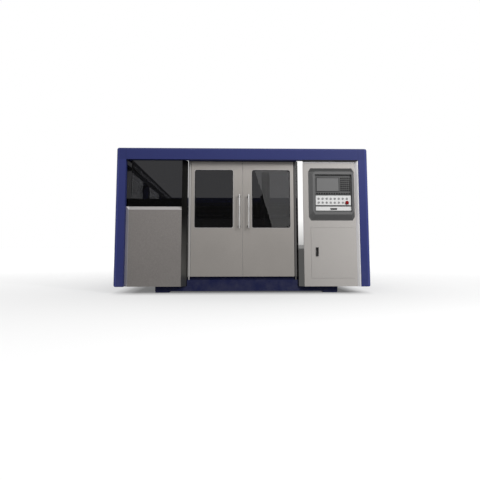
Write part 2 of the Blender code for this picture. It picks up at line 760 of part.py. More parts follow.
def build_gantry():
    """Crossbeam on two carriages, with the head's two rails and the rack on its front."""
    bevel(boxes("crossbeam", [(
        (-BEAM_HALF, GANTRY_Y, BEAM_BOTTOM), (BEAM_HALF, GANTRY_Y + BEAM_DEPTH, BEAM_TOP),
    )], "blue_paint"), BEAM_ROUND, 2)
    for x, name in zip(rail_lines(), ("left_carriage", "right_carriage")):
        build_carriage(name, x)
    span = BEAM_HALF - BEAM_RAIL_END
    back = GANTRY_Y - GAP
    for name, low in (
        ("lower_beam_rail", BEAM_BOTTOM + BEAM_RAIL_INSET),
        ("upper_beam_rail", BEAM_TOP - BEAM_RAIL_INSET - BEAM_RAIL_TALL),
    ):
        boxes(name, [((-span, BEAM_RAIL_FRONT, low), (span, back, low + BEAM_RAIL_TALL))], "bright_steel")
    low = (BEAM_BOTTOM + BEAM_TOP - BEAM_RACK_TALL) / 2
    boxes("beam_rack", [(
        (-span, BEAM_RAIL_FRONT + BEAM_RACK_SINK, low), (span, back, low + BEAM_RACK_TALL),
    )], "raw_steel")


def build_carriage(name, x):
    """Plate under the crossbeam's end on two blocks that ride the rail."""
    start = GANTRY_Y + (BEAM_DEPTH - CARRIAGE_LENGTH) / 2
    end = start + CARRIAGE_LENGTH
    base = BED_TOP + CARRIAGE_RISE
    half = CARRIAGE_WIDTH / 2
    plate = boxes(name, [((x - half, start, base), (x + half, end, BEAM_BOTTOM - GAP))], "dark_grey_paint")
    blocks = []
    for y in (start + BLOCK_INSET, end - BLOCK_INSET - BLOCK_LENGTH):
        blocks.append((
            (x - BLOCK_WIDTH / 2, y, BED_TOP + BLOCK_RISE),
            (x + BLOCK_WIDTH / 2, y + BLOCK_LENGTH, base + LAP),
        ))
    join(plate, boxes(name + "_blocks", blocks))
    half = RAIL_SIZE / 2 + GAP
    return cut(plate, boxes(name + "_groove", [(
        (x - half, start - PASS, BED_TOP - PASS),
        (x + half, end + PASS, RAIL_BOTTOM + RAIL_SIZE + GAP),
    )]))


def build_head():
    """Head carriage with its tall housing, the cutting head that slides on it, and the nozzle."""
    half = SLIDE_PLATE / 2
    carriage = boxes("head_carriage", [(
        (HEAD_X - half, SLIDE_FRONT, BEAM_BOTTOM + SLIDE_DROP),
        (HEAD_X + half, SLIDE_BACK, BEAM_TOP + SLIDE_RISE),
    )], "aluminium")
    join(carriage, boxes("head_housing", [(
        (HOUSING_LEFT, HOUSING_FRONT, HOUSING_BOTTOM),
        (HOUSING_LEFT + HOUSING_WIDTH, SLIDE_FRONT + PASS, HOUSING_BOTTOM + HOUSING_TALL),
    )]))
    half = HEAD_BODY / 2
    back = HOUSING_FRONT - GAP
    x, y = HOUSING_LEFT + HOUSING_WIDTH / 2 - HEAD_OFFSET, back - half
    head = boxes("cutting_head", [(
        (x - half, y - half, HEAD_BODY_BOTTOM), (x + half, back, HEAD_BODY_BOTTOM + HEAD_BODY_TALL),
    )], "dark_grey_paint")
    barrel = (
        (HEAD_SEAT, HEAD_TIP), (HEAD_BARREL / 2, HEAD_TIP + HEAD_CONE / 2),
        (HEAD_BARREL, HEAD_TIP + HEAD_CONE), (HEAD_BARREL, HEAD_BODY_BOTTOM + LAP),
    )
    join(head, turned("head_barrel", barrel, (x, y, 0.0), 2, 32))
    nozzle = (
        (NOZZLE_BORE, NOZZLE_TIP), (NOZZLE_MOUTH, NOZZLE_TIP),
        (NOZZLE_RADIUS, NOZZLE_TIP + NOZZLE_TALL / 2), (NOZZLE_RADIUS, HEAD_TIP - GAP),
        (NOZZLE_BORE, HEAD_TIP - GAP),
    )
    bm = bmesh.new()
    add_ring(bm, nozzle, (x, y, 0.0), 2, 24)
    soften(add_object("nozzle", bm, "copper"))


def slat_outline(left, right, low):
    """Strip with a saw-toothed upper edge."""
    teeth = round((right - left) / TOOTH_PITCH)
    pitch = (right - left) / teeth
    outline = [(left, low), (right, low)]
    for tooth in range(teeth):
        outline.append((right - tooth * pitch, SLAT_TIP - TOOTH_DEPTH))
        outline.append((right - (tooth + 0.5) * pitch, SLAT_TIP))
    outline.append((left, SLAT_TIP - TOOTH_DEPTH))
    return outline


def build_pallet():
    """Welded frame with rows of toothed slats across it."""
    low = LEDGE_TOP + GAP
    frame = PALLET_FRAME
    pallet = boxes("slat_pallet", [(
        (PALLET_LEFT, PALLET_FRONT, low), (PALLET_RIGHT, PALLET_END, PALLET_TOP),
    )], "raw_steel")
    cut(pallet, boxes("pallet_well", [(
        (PALLET_LEFT + frame, PALLET_FRONT + frame, low - PASS),
        (PALLET_RIGHT - frame, PALLET_END - frame, PALLET_TOP + PASS),
    )]))
    outline = slat_outline(PALLET_LEFT + SLAT_END_GAP, PALLET_RIGHT - SLAT_END_GAP, PALLET_TOP - SLAT_SEAT)
    span = (PALLET_END - frame) - (PALLET_FRONT + frame)
    bays = round(span / SLAT_PITCH)
    bm = bmesh.new()
    for index in range(1, bays):
        y = PALLET_FRONT + frame + index * span / bays
        add_prism(bm, outline, y, y + SLAT_THICK, 1)
    return join(pallet, add_object("pallet_slats", bm, None))


def build_scrap_drawer():
    """Open tray on the bed's cross tubes, drawn out through the rear wall by its grip."""
    low, high = SCRAP_BOTTOM, SCRAP_TOP
    plate = REAR_WALL_Y + PASS
    tray = boxes("scrap_drawer", [(
        (SCRAP_LEFT, SCRAP_FRONT, low), (SCRAP_RIGHT, plate + SCRAP_PLATE, high),
    )], "dark_grey_paint")
    cut(tray, boxes("scrap_well", [(
        (SCRAP_LEFT + SCRAP_SHEET, SCRAP_FRONT + SCRAP_SHEET, low + SCRAP_SHEET),
        (SCRAP_RIGHT - SCRAP_SHEET, plate, high + PASS),
    )]))
    middle = (SCRAP_LEFT + SCRAP_RIGHT) / 2
    left, right = middle - GRIP_HALF, middle + GRIP_HALF
    bottom = low + GRIP_BOTTOM
    grip = boxes("scrap_grip", [((left, plate + PASS, bottom), (right, DEPTH, bottom + GRIP_BAR))])
    cut(grip, boxes("scrap_finger_gap", [(
        (left + GRIP_BAR, plate + PASS, bottom - PASS),
        (right - GRIP_BAR, DEPTH - GRIP_BAR, bottom + GRIP_BAR + PASS),
    )]))
    return join(tray, grip)


def build_doors():
    build_door("left", -1, HANDLE_LEFT_X)
    build_door("right", 1, HANDLE_RIGHT_X)


def build_door(name, side, handle_x):
    """Leaf with a tinted pane, the pivot post with its pins, and a tubular handle."""
    front, back = DOOR_SETBACK, DOOR_SETBACK + DOOR_THICK
    axis = (side * PIVOT_X, (front + back) / 2, DOOR_BOTTOM)
    near, far = sorted((side * LEAF_MEET, side * LEAF_OUTER))
    leaf = bevel(boxes(name + "_door_leaf", [((near, front, DOOR_BOTTOM), (far, back, DOOR_TOP))],
                       "grey_paint"), DOOR_EDGE, 2)
    near, far = sorted((side * INNER_STILE, side * (PIVOT_X - OUTER_STILE)))
    hole = rounded_outline(near, WINDOW_BOTTOM, far, WINDOW_TOP, WINDOW_ROUND, 4)
    cut(leaf, prism(name + "_door_hole", hole, front - PASS, back + PASS, 1))
    pane = rounded_outline(near + GAP, WINDOW_BOTTOM + GAP, far - GAP, WINDOW_TOP - GAP,
                           WINDOW_ROUND - GAP, 4)
    skin = front + WINDOW_SINK
    glass = prism(name + "_door_window", pane, skin, skin + PANE, 1, "tinted_glass")
    tall = DOOR_TOP - DOOR_BOTTOM
    pin = PIN_REACH - PIN_END_GAP
    profile = (
        (PIN_RADIUS, -pin), (PIN_RADIUS, 0.0), (PIVOT_RADIUS, 0.0),
        (PIVOT_RADIUS, tall), (PIN_RADIUS, tall), (PIN_RADIUS, tall + pin),
    )
    post = turned(name + "_door_pivot", profile, axis, 2, 24, "bright_steel")
    handle = build_handle(name + "_door_handle", handle_x)
    for item in (leaf, glass, post, handle):
        pivot_at(item, axis)


def build_handle(name, x):
    """Upright bar with tapered ends on two standoffs, whose feet rest on the leaf."""
    bar_y = DOOR_SETBACK - HANDLE_STANDOFF
    length = HANDLE_TOP - HANDLE_BOTTOM
    slope = HANDLE_RADIUS / 2
    profile = (
        (slope, 0.0), (HANDLE_RADIUS, slope), (HANDLE_RADIUS, length - slope), (slope, length),
    )
    bar = turned(name, profile, (x, bar_y, HANDLE_BOTTOM), 2, 16, "aluminium")
    foot = GAP - HANDLE_STANDOFF
    profile = (
        (STANDOFF_FOOT, foot), (STANDOFF_FOOT, foot + STANDOFF_FOOT_THICK),
        (STANDOFF_RADIUS, foot + STANDOFF_FOOT_THICK + STANDOFF_TAPER), (STANDOFF_RADIUS, 0.0),
    )
    bm = bmesh.new()
    for z in (HANDLE_BOTTOM + STANDOFF_INSET, HANDLE_TOP - STANDOFF_INSET):
        add_turned(bm, profile, (x, bar_y, z), 1, 16)
    return join(bar, add_object(name + "_standoffs", bm, None))


def build_cabinet():
    """Sheet steel cabinet with a door opening and an opening behind the console."""
    front = PANEL_SETBACK
    wall = CABINET_WALL
    top = OPENING_TOP - GAP
    cabinet = boxes("control_cabinet", [(
        (CABINET_LEFT, front, SKIRT), (CABINET_RIGHT, CABINET_BACK, top),
    )], "light_grey_paint")
    cut(cabinet, boxes("cabinet_inside", [(
        (CABINET_LEFT + wall, front + wall, SKIRT + wall),
        (CABINET_RIGHT - wall, CABINET_BACK - wall, top - wall),
    )]))
    seam = CABINET_DOOR_SEAM
    cut(cabinet, boxes("cabinet_openings", [
        ((CABINET_DOOR_LEFT - seam, front - PASS, CABINET_DOOR_BOTTOM - seam),
         (CABINET_DOOR_RIGHT + GAP, front + wall + PASS, CABINET_DOOR_TOP + seam)),
        ((RECESS_LEFT, front - PASS, RECESS_BOTTOM), (RECESS_RIGHT, front + wall + PASS, PLATE_TOP)),
    ]))
    door = bevel(boxes("cabinet_door", [(
        (CABINET_DOOR_LEFT, CABINET_DOOR_Y, CABINET_DOOR_BOTTOM),
        (CABINET_DOOR_RIGHT, CABINET_DOOR_Y + CABINET_DOOR_THICK, CABINET_DOOR_TOP),
    )], "light_grey_paint"), CABINET_DOOR_EDGE, 1)
    pivot_at(door, (CABINET_DOOR_RIGHT, CABINET_DOOR_Y, CABINET_DOOR_BOTTOM))
    x, z = CABINET_DOOR_LEFT + LATCH_INSET, CABINET_DOOR_TOP - LATCH_BELOW_TOP
    face = CABINET_DOOR_Y - GAP
    half = LATCH_WIDTH / 2
    outline = rounded_outline(x - half, z - LATCH_LENGTH, x + half, z + half, LATCH_ROUND, 2)
    latch = prism("cabinet_latch", outline, face - LATCH_PROUD, face, 1, "black_plastic")
    pivot_at(latch, (x, face, z))
    base = SKIRT + wall + GAP
    boxes("laser_source", [(
        (CABINET_LEFT + SOURCE_SIDE_GAP, front + SOURCE_FRONT_GAP, base),
        (CABINET_RIGHT - SOURCE_SIDE_GAP, CABINET_BACK - SOURCE_BACK_GAP, base + SOURCE_TALL),
    )], "dark_grey_paint")


def build_console():
    """Chamfered housing with cut corners, and the screen, keys and button plate in its recess."""
    back = PANEL_SETBACK - GAP
    outer = cut_corner_outline(CONSOLE_LEFT, CONSOLE_BOTTOM, CONSOLE_RIGHT, CONSOLE_TOP)
    inner = cut_corner_outline(
        CONSOLE_LEFT + CONSOLE_CHAMFER_LEFT, CONSOLE_BOTTOM + CONSOLE_CHAMFER_BOTTOM,
        CONSOLE_RIGHT - CONSOLE_CHAMFER_RIGHT, CONSOLE_TOP - CONSOLE_CHAMFER_TOP,
    )
    bm = bmesh.new()
    rings = []
    for outline, y in ((outer, back), (inner, 0.0)):
        rings.append([bm.verts.new((x, FRONT + y, z)) for x, z in outline])
    for step, spot in enumerate(rings[0]):
        following = (step + 1) % len(outer)
        bm.faces.new((spot, rings[0][following], rings[1][following], rings[1][step]))
    bm.faces.new(rings[0])
    bm.faces.new(rings[1])
    housing = add_object("console_housing", bm, "dark_grey_paint")
    cut(housing, boxes("console_recess", [(
        (RECESS_LEFT, -PASS, RECESS_BOTTOM), (RECESS_RIGHT, RECESS_DEPTH, RECESS_TOP),
    )]))
    cut(housing, boxes("console_slots", [
        ((PLATE_LEFT + PLATE_LAP_X, -PASS, PLATE_BOTTOM + PLATE_LAP_Z),
         (PLATE_RIGHT - PLATE_LAP_X, back + PASS, PLATE_TOP - PLATE_LAP_Z)),
        ((DRAWER_LEFT - DRAWER_CLEARANCE, -PASS, DRAWER_BOTTOM - GAP),
         (DRAWER_RIGHT + DRAWER_CLEARANCE, back + PASS, DRAWER_TOP + DRAWER_CLEARANCE)),
    ]))
    boxes("screen", [(
        (RECESS_LEFT + SCREEN_INSET, RECESS_FLOOR - SCREEN_THICK, ROW_TOP + SCREEN_RISE),
        (KEYPAD_LEFT - KEYPAD_GAP, RECESS_FLOOR, RECESS_TOP - SCREEN_DROP),
    )], "screen_glass")
    keypad = (KEYPAD_LEFT, ROW_TOP + KEYPAD_RISE, KEYPAD_RIGHT, RECESS_TOP - KEYPAD_DROP)
    build_keys("keypad", keypad, KEY_COLUMNS, KEY_ROWS)
    build_keys("key_row", (ROW_LEFT, ROW_BOTTOM, KEYPAD_RIGHT, ROW_TOP), ROW_KEYS, 1)
    plate = boxes("button_plate", [(
        (PLATE_LEFT, PLATE_FACE, PLATE_BOTTOM), (PLATE_RIGHT, RECESS_FLOOR, PLATE_TOP),
    )], "white_plastic")
    bm = bmesh.new()
    for x, z, radius in button_spots():
        radius += BUTTON_CLEARANCE
        profile = ((radius, -PASS - PLATE_THICK), (radius, PASS + PLATE_THICK))
        add_turned(bm, profile, (x, RECESS_FLOOR, z), 1, 16)
    cut(plate, add_object("button_holes", bm, None))


def cut_corner_outline(left, bottom, right, top):
    x, z = CONSOLE_CUT_X, CONSOLE_CUT_Z
    return (
        (left + x, bottom), (right - x, bottom), (right, bottom + z), (right, top - z),
        (right - x, top), (left + x, top), (left, top - z), (left, bottom + z),
    )


def build_keys(name, area, columns, rows):
    """A membrane pad with a grid of raised keys."""
    left, bottom, right, top = area
    face = RECESS_FLOOR - KEY_BASE
    pad = boxes(name, [((left, face, bottom), (right, RECESS_FLOOR, top))], "black_plastic")
    width, height = (right - left) / columns, (top - bottom) / rows
    margin_x, margin_z = KEY_MARGIN * width, KEY_MARGIN * height
    keys = []
    for row in range(rows):
        for column in range(columns):
            x, z = left + column * width, bottom + row * height
            keys.append((
                (x + margin_x, RECESS_FLOOR - KEY_TALL, z + margin_z),
                (x + width - margin_x, face + KEY_BASE / 2, z + height - margin_z),
            ))
    return join(pad, boxes(name + "_keys", keys))


def button_spots():
    """X, Z and stem radius of each place on the button plate; the last place is the emergency stop."""
    spots = []
    for z in (PLATE_TOP - BUTTON_DROP, PLATE_BOTTOM + BUTTON_RISE):
        for column in range(BUTTON_COLUMNS):
            spots.append((BUTTON_LEFT + column * BUTTON_PITCH, z, BUTTON_RADIUS))
    x, z, radius = spots.pop()
    spots.append((x, z, STOP_STEM))
    return spots


def build_buttons():
    """Push buttons in two rows, and the mushroom-shaped emergency stop in the last place."""
    edge = BUTTON_EDGE_ROUND
    back = BUTTON_PROUD - BUTTON_LENGTH
    spots = button_spots()
    for index, (x, z, radius) in enumerate(spots[:-1]):
        profile = (
            (radius - edge, back), (radius, back + edge),
            (radius, BUTTON_PROUD - edge), (radius - edge, BUTTON_PROUD),
        )
        button = turned("button_" + str(index + 1), profile, (x, PLATE_FACE, z), 1, 16, "grey_plastic")
        pivot_at(button, (x, PLATE_FACE, z))
    x, z, radius = spots[-1]
    profile = (
        (radius, back), (radius, STOP_UNDERSIDE), (STOP_RADIUS, STOP_RIM), (STOP_RADIUS, STOP_SHOULDER),
        (STOP_RADIUS * 0.85, STOP_DOME), (STOP_RADIUS / 2, STOP_TOP),
    )
    stop = turned("emergency_stop", profile, (x, PLATE_FACE, z), 1, 24, "red_plastic")
    pivot_at(stop, (x, PLATE_FACE, z))


def build_keyboard_drawer():
    """White drawer under the buttons: an open tray with a grip notch, wider at its top, in the front."""
    face = PLATE_FACE
    drawer = boxes("keyboard_drawer", [(
        (DRAWER_LEFT, face, DRAWER_BOTTOM), (DRAWER_RIGHT, face + DRAWER_DEPTH, DRAWER_TOP),
    )], "white_plastic")
    wall = DRAWER_WALL
    cut(drawer, boxes("keyboard_well", [(
        (DRAWER_LEFT + wall, face + DRAWER_FRONT, DRAWER_BOTTOM + wall),
        (DRAWER_RIGHT - wall, face + DRAWER_DEPTH - wall, DRAWER_TOP + PASS),
    )]))
    middle = (DRAWER_LEFT + DRAWER_RIGHT) / 2
    low, high = DRAWER_BOTTOM + NOTCH_RISE, DRAWER_TOP - NOTCH_DROP
    outline = (
        (middle - NOTCH_BOTTOM_WIDTH / 2, low), (middle + NOTCH_BOTTOM_WIDTH / 2, low),
        (middle + NOTCH_TOP_WIDTH / 2, high), (middle - NOTCH_TOP_WIDTH / 2, high),
    )
    return cut(drawer, prism("keyboard_notch", outline, face - PASS, face + NOTCH_DEPTH, 1))


build_portal()
build_left_bay()
build_corner_strips()
build_bed()
build_walls()
build_rails()
build_gantry()
build_head()
build_pallet()
build_scrap_drawer()
build_doors()
build_cabinet()
build_console()
build_buttons()
build_keyboard_drawer()
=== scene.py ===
import math

import bmesh
import bpy
from bpy.props import FloatProperty, FloatVectorProperty, PointerProperty
from mathutils import Matrix, Vector


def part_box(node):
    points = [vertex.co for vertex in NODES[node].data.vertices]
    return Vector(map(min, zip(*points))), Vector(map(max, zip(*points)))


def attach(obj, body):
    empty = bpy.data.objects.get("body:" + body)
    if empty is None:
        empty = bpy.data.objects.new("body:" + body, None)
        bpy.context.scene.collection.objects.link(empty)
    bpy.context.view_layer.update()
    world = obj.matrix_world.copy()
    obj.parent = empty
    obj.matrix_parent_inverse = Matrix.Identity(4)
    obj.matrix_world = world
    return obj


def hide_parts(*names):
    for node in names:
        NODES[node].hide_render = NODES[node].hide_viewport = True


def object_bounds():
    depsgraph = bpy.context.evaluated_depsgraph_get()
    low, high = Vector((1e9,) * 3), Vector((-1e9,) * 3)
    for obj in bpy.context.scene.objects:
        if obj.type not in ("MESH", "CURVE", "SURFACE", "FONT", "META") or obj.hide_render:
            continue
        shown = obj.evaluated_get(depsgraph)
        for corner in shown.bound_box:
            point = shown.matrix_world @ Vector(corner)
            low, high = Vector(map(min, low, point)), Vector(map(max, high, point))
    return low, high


bl_info = {
    "name": "Laser cutter dressing",
    "version": (1, 0, 0),
    "blender": (4, 5, 0),
    "location": "View3D > Sidebar > Laser cutter",
    "description": "Finishes and fittings of an enclosed sheet metal laser cutter",
    "category": "Object",
}

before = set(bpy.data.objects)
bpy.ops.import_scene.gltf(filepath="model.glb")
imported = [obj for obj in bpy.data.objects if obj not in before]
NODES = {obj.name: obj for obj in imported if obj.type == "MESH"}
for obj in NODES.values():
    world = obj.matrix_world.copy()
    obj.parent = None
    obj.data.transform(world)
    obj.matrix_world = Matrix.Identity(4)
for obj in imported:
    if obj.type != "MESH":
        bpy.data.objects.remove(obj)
CAD_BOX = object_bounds()
FRONT = CAD_BOX[0].y
PLATE_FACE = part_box("button_plate")[0].y
LEAF_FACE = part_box("left_door_leaf")[0].y
LEAF_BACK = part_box("left_door_leaf")[1].y
GAP = 0.0003
SIDES = ("left", "right")
PANE_CORNER = 0.0255
BUTTON_COUNT = 15
POSTS = (FRONT + 1.92, FRONT + 4.25)
LAMP_BAYS = ((FRONT + 1.22, FRONT + 1.866), (FRONT + 3.38, FRONT + 4.196))
SHARP_ANGLE = math.radians(40)


# Settings

def length(name, description, default):
    return FloatProperty(name=name, description=description, default=default, unit="LENGTH", precision=4)


def colour(name, description, default):
    return FloatVectorProperty(
        name=name, description=description, default=default, size=3, subtype="COLOR", min=0.0, max=1.0)


class CutterSizes(bpy.types.PropertyGroup):
    """Sizes of the fittings"""
    handle_radius: length("Handle radius", "Radius of the door handles' bars", 0.0125)
    seal_width: length("Seal width", "Width of the rubber seal round a door window", 0.009)
    # The rim round a door window is lighter than the door: painted highlight.
    rim_width: length("Rim width", "Width of the light rim round a door window", 0.007)
    key_round: length("Key rounding", "Rounding of the keypad's key caps", 0.0018)
    cap_radius: length("Button radius", "Radius of the push buttons' caps", 0.0125)


class CutterColours(bpy.types.PropertyGroup):
    """Colours of the paints, glass and plastics"""
    blue: colour("Frame blue", "Powder coat of the portal, bed and walls", (0.030, 0.038, 0.145))
    panel: colour("Panel grey", "Powder coat of the low front panel", (0.205, 0.191, 0.182))
    door: colour("Door grey", "Powder coat of the doors", (0.285, 0.267, 0.250))
    cabinet: colour("Cabinet grey", "Powder coat of the control cabinet", (0.350, 0.333, 0.318))
    console: colour("Console grey", "Paint of the console housing", (0.112, 0.112, 0.112))
    glass: colour("Glass tint", "Tint of the safety panes", (0.034, 0.034, 0.036))
    screen: colour("Screen grey", "Matt face of the screen", (0.150, 0.150, 0.150))
    key: colour("Key black", "Moulding of the keys", (0.012, 0.012, 0.012))
    plate: colour("Plate white", "Button plate and keyboard drawer", (0.620, 0.620, 0.615))
    button: colour("Button grey", "Caps of the push buttons", (0.230, 0.230, 0.235))
    stop: colour("Stop red", "Mushroom of the emergency stop", (0.200, 0.002, 0.003))


# Shader groups

GROUPS = {}
FINISHES = {}
SOCKET_KINDS = {1: "NodeSocketFloat", 3: "NodeSocketVector", 4: "NodeSocketColor"}
SURFACE = {"Colour": 4, "Roughness": 1, "Height": 1}
DUST_COLOUR = (0.30, 0.285, 0.265)
BLACK, WHITE = (0.0, 0.0, 0.0), (1.0, 1.0, 1.0)


def feed(tree, socket, value):
    """Links a socket to another one, or sets it to a number, a vector or a colour."""
    if isinstance(value, bpy.types.NodeSocket):
        tree.links.new(value, socket)
    elif socket.type == "RGBA":
        socket.default_value = (*value[:3], 1.0)
    else:
        socket.default_value = value


def place_of(tree):
    """The shaded point in object coordinates."""
    return tree.nodes.new("ShaderNodeTexCoord").outputs["Object"]


def axes_of(tree):
    """The shaded point's X, Y and Z."""
    split = tree.nodes.new("ShaderNodeSeparateXYZ")
    feed(tree, split.inputs[0], place_of(tree))
    return split.outputs


def noise(tree, vector, scale, detail=3.0, roughness=0.5):
    node = tree.nodes.new("ShaderNodeTexNoise")
    for label, value in (("Vector", vector), ("Scale", scale), ("Detail", detail), ("Roughness", roughness)):
        feed(tree, node.inputs[label], value)
    return node.outputs["Fac"]


def spread(tree, value, low, high, to_low, to_high):
    """Maps a value from one range to another."""
    node = tree.nodes.new("ShaderNodeMapRange")
    labels = ("Value", "From Min", "From Max", "To Min", "To Max")
    for label, number in zip(labels, (value, low, high, to_low, to_high)):
        feed(tree, node.inputs[label], number)
    return node.outputs[0]


def maths(tree, operation, first, second):
    node = tree.nodes.new("ShaderNodeMath")
    node.operation = operation
    feed(tree, node.inputs[0], first)
    feed(tree, node.inputs[1], second)
    return node.outputs[0]


def vector_maths(tree, operation, first, second, socket=1):
    node = tree.nodes.new("ShaderNodeVectorMath")
    node.operation = operation
    feed(tree, node.inputs[0], first)
    feed(tree, node.inputs[socket], second)
    return node.outputs


def scaled(tree, shade, level):
    """A colour times a level."""
    return vector_maths(tree, "SCALE", shade, level, "Scale")[0]


def swing(tree, value, amount):
    """A noise value about its middle, times an amount."""
    return maths(tree, "MULTIPLY", maths(tree, "SUBTRACT", value, 0.5), amount)


def mix_colour(tree, factor, first, second):
    node = tree.nodes.new("ShaderNodeMix")
    node.data_type = "RGBA"
    for index, value in ((0, factor), (6, first), (7, second)):
        feed(tree, node.inputs[index], value)
    return node.outputs[2]


def new_group(name, inputs, outputs):
    """An empty shader group with named sockets; returns it with its inputs and the ends to feed."""
    tree = bpy.data.node_groups.new(name, "ShaderNodeTree")
    for label, value in inputs.items():
        parts = len(value) if isinstance(value, tuple) else 1
        socket = tree.interface.new_socket(label, in_out="INPUT", socket_type=SOCKET_KINDS[parts])
        socket.default_value = value
    for label, parts in outputs.items():
        tree.interface.new_socket(label, in_out="OUTPUT", socket_type=SOCKET_KINDS[parts])
    GROUPS[name] = tree
    return tree, tree.nodes.new("NodeGroupInput").outputs, tree.nodes.new("NodeGroupOutput").inputs


def send(tree, ends, **results):
    """Feeds a group's outputs by their names."""
    for label, value in results.items():
        feed(tree, ends[label], value)


def use_group(tree, name, values):
    """Places a shader group with its own values; returns its outputs."""
    node = tree.nodes.new("ShaderNodeGroup")
    node.node_tree = GROUPS[name]
    for label, value in values.items():
        feed(tree, node.inputs[label], value)
    return node.outputs


def build_paint_group():
    """Powder coat: cloudy tone, fine speckle, floor dust low down, and an orange-peel height."""
    tree, given, ends = new_group("powder_coat", {
        "Colour": (0.5, 0.5, 0.5, 1.0), "Cloud": 0.05, "Speckle": 0.05, "Dust": 0.1, "Roughness": 0.45,
    }, SURFACE)
    place = place_of(tree)
    clouds = noise(tree, place, 2.2, 4.0, 0.55)
    specks = noise(tree, place, 90.0, 3.0, 0.7)
    tone = maths(tree, "ADD", swing(tree, clouds, given["Cloud"]), swing(tree, specks, given["Speckle"]))
    shade = scaled(tree, given["Colour"], maths(tree, "ADD", tone, 1.0))
    low = spread(tree, axes_of(tree)["Z"], 0.0, 0.55, 1.0, 0.0)
    patches = spread(tree, noise(tree, place, 7.0, 5.0, 0.65), 0.42, 0.72, 0.0, 1.0)
    dust = maths(tree, "MULTIPLY", maths(tree, "MULTIPLY", low, patches), given["Dust"])
    rough = maths(tree, "ADD", given["Roughness"], maths(tree, "MULTIPLY", dust, 0.5))
    send(tree, ends, Colour=mix_colour(tree, dust, shade, DUST_COLOUR),
         Roughness=maths(tree, "ADD", rough, swing(tree, clouds, 0.12)),
         Height=noise(tree, place, 900.0, 1.0))


def build_metal_group():
    """Drawn, brushed or turned metal: fine lines along the stretched direction and cloudy handling marks."""
    tree, given, ends = new_group("worked_metal", {
        "Colour": (0.6, 0.6, 0.6, 1.0), "Stretch": (1.0, 1.0, 0.02), "Lines": 0.1, "Stain": 0.1,
        "Roughness": 0.3,
    }, SURFACE)
    place = place_of(tree)
    lines = noise(tree, vector_maths(tree, "MULTIPLY", place, given["Stretch"])[0], 420.0, 3.0, 0.6)
    line_tone = swing(tree, lines, given["Lines"])
    mark_tone = swing(tree, noise(tree, place, 9.0, 5.0, 0.6), given["Stain"])
    level = maths(tree, "ADD", maths(tree, "ADD", line_tone, mark_tone), 1.0)
    rough = maths(tree, "SUBTRACT", given["Roughness"], line_tone)
    send(tree, ends, Colour=scaled(tree, given["Colour"], level),
         Roughness=maths(tree, "ADD", rough, mark_tone), Height=lines)


def build_plastic_group():
    """Moulded plastic and rubber: fine spark-eroded grain with faint handling shine."""
    tree, given, ends = new_group("moulded", {
        "Colour": (0.1, 0.1, 0.1, 1.0), "Grain": 600.0, "Wear": 0.1, "Roughness": 0.45,
    }, SURFACE)
    place = place_of(tree)
    grain = tree.nodes.new("ShaderNodeTexVoronoi")
    feed(tree, grain.inputs["Vector"], place)
    feed(tree, grain.inputs["Scale"], given["Grain"])
    wear = swing(tree, noise(tree, place, 14.0, 4.0, 0.6), given["Wear"])
    send(tree, ends, Colour=scaled(tree, given["Colour"], maths(tree, "ADD", wear, 1.0)),
         Roughness=maths(tree, "ADD", given["Roughness"], wear), Height=grain.outputs["Distance"])


def build_band_group():
    """One where a coordinate lies past an edge, soft over a width, which is negative for the near side."""
    tree, given, ends = new_group("edge_band", {"Value": 0.0, "Edge": 1.0, "Width": 0.01}, {"Mask": 1})
    share = maths(tree, "DIVIDE", maths(tree, "SUBTRACT", given["Value"], given["Edge"]), given["Width"])
    send(tree, ends, Mask=maths(tree, "MINIMUM", maths(tree, "MAXIMUM", share, 0.0), 1.0))


def band(tree, value, edge, width):
    return use_group(tree, "edge_band", {"Value": value, "Edge": edge, "Width": width})["Mask"]


def tone_bands(finish, *bands):
    """Tones a colour inside each band: (axis, edge, width, tone) and maybe a far edge. |X| is mirrored."""
    tree = finish.node_tree
    socket = tree.nodes["Principled BSDF"].inputs["Base Color"]
    shade, axes = socket.links[0].from_socket, axes_of(tree)
    for axis, edge, width, tone, *far in bands:
        value = axes[axis.strip("|")]
        if axis == "|X|":
            value = maths(tree, "ABSOLUTE", value, 0.0)
        mask = band(tree, value, edge, width)
        for place in far:
            mask = maths(tree, "SUBTRACT", mask, band(tree, value, place, abs(width)))
        shade = scaled(tree, shade, maths(tree, "ADD", maths(tree, "MULTIPLY", mask, tone - 1.0), 1.0))
    feed(tree, socket, shade)


def new_material(name):
    """A material with its node tree and its shader's inputs."""
    material = bpy.data.materials.new(name)
    material.use_nodes = True
    return material, material.node_tree, material.node_tree.nodes["Principled BSDF"].inputs


def new_finish(name, group, values, metallic=0.0, bump=0.0, specular=0.5):
    """A material whose colour, roughness and bump come from a shader group."""
    finish, tree, shader = new_material(name)
    shader["Metallic"].default_value = metallic
    shader["Specular IOR Level"].default_value = specular
    surface = use_group(tree, group, values)
    feed(tree, shader["Base Color"], surface["Colour"])
    feed(tree, shader["Roughness"], surface["Roughness"])
    if bump:
        relief = tree.nodes.new("ShaderNodeBump")
        relief.inputs["Strength"].default_value = bump
        relief.inputs["Distance"].default_value = 0.0004
        feed(tree, relief.inputs["Height"], surface["Height"])
        feed(tree, shader["Normal"], relief.outputs["Normal"])
    FINISHES[name] = finish
    return finish


def paint(name, rgb, roughness=0.45, cloud=0.06, speckle=0.10, dust=0.12, specular=0.22, flake=0.0):
    values = {"Colour": rgb, "Cloud": cloud, "Speckle": speckle, "Dust": dust, "Roughness": roughness}
    return new_finish(name, "powder_coat", values, metallic=flake, bump=0.12, specular=specular)


def metal(name, rgb, roughness, stretch, lines, stain, bump=0.05):
    values = {"Colour": rgb, "Stretch": stretch, "Lines": lines, "Stain": stain, "Roughness": roughness}
    return new_finish(name, "worked_metal", values, metallic=1.0, bump=bump)


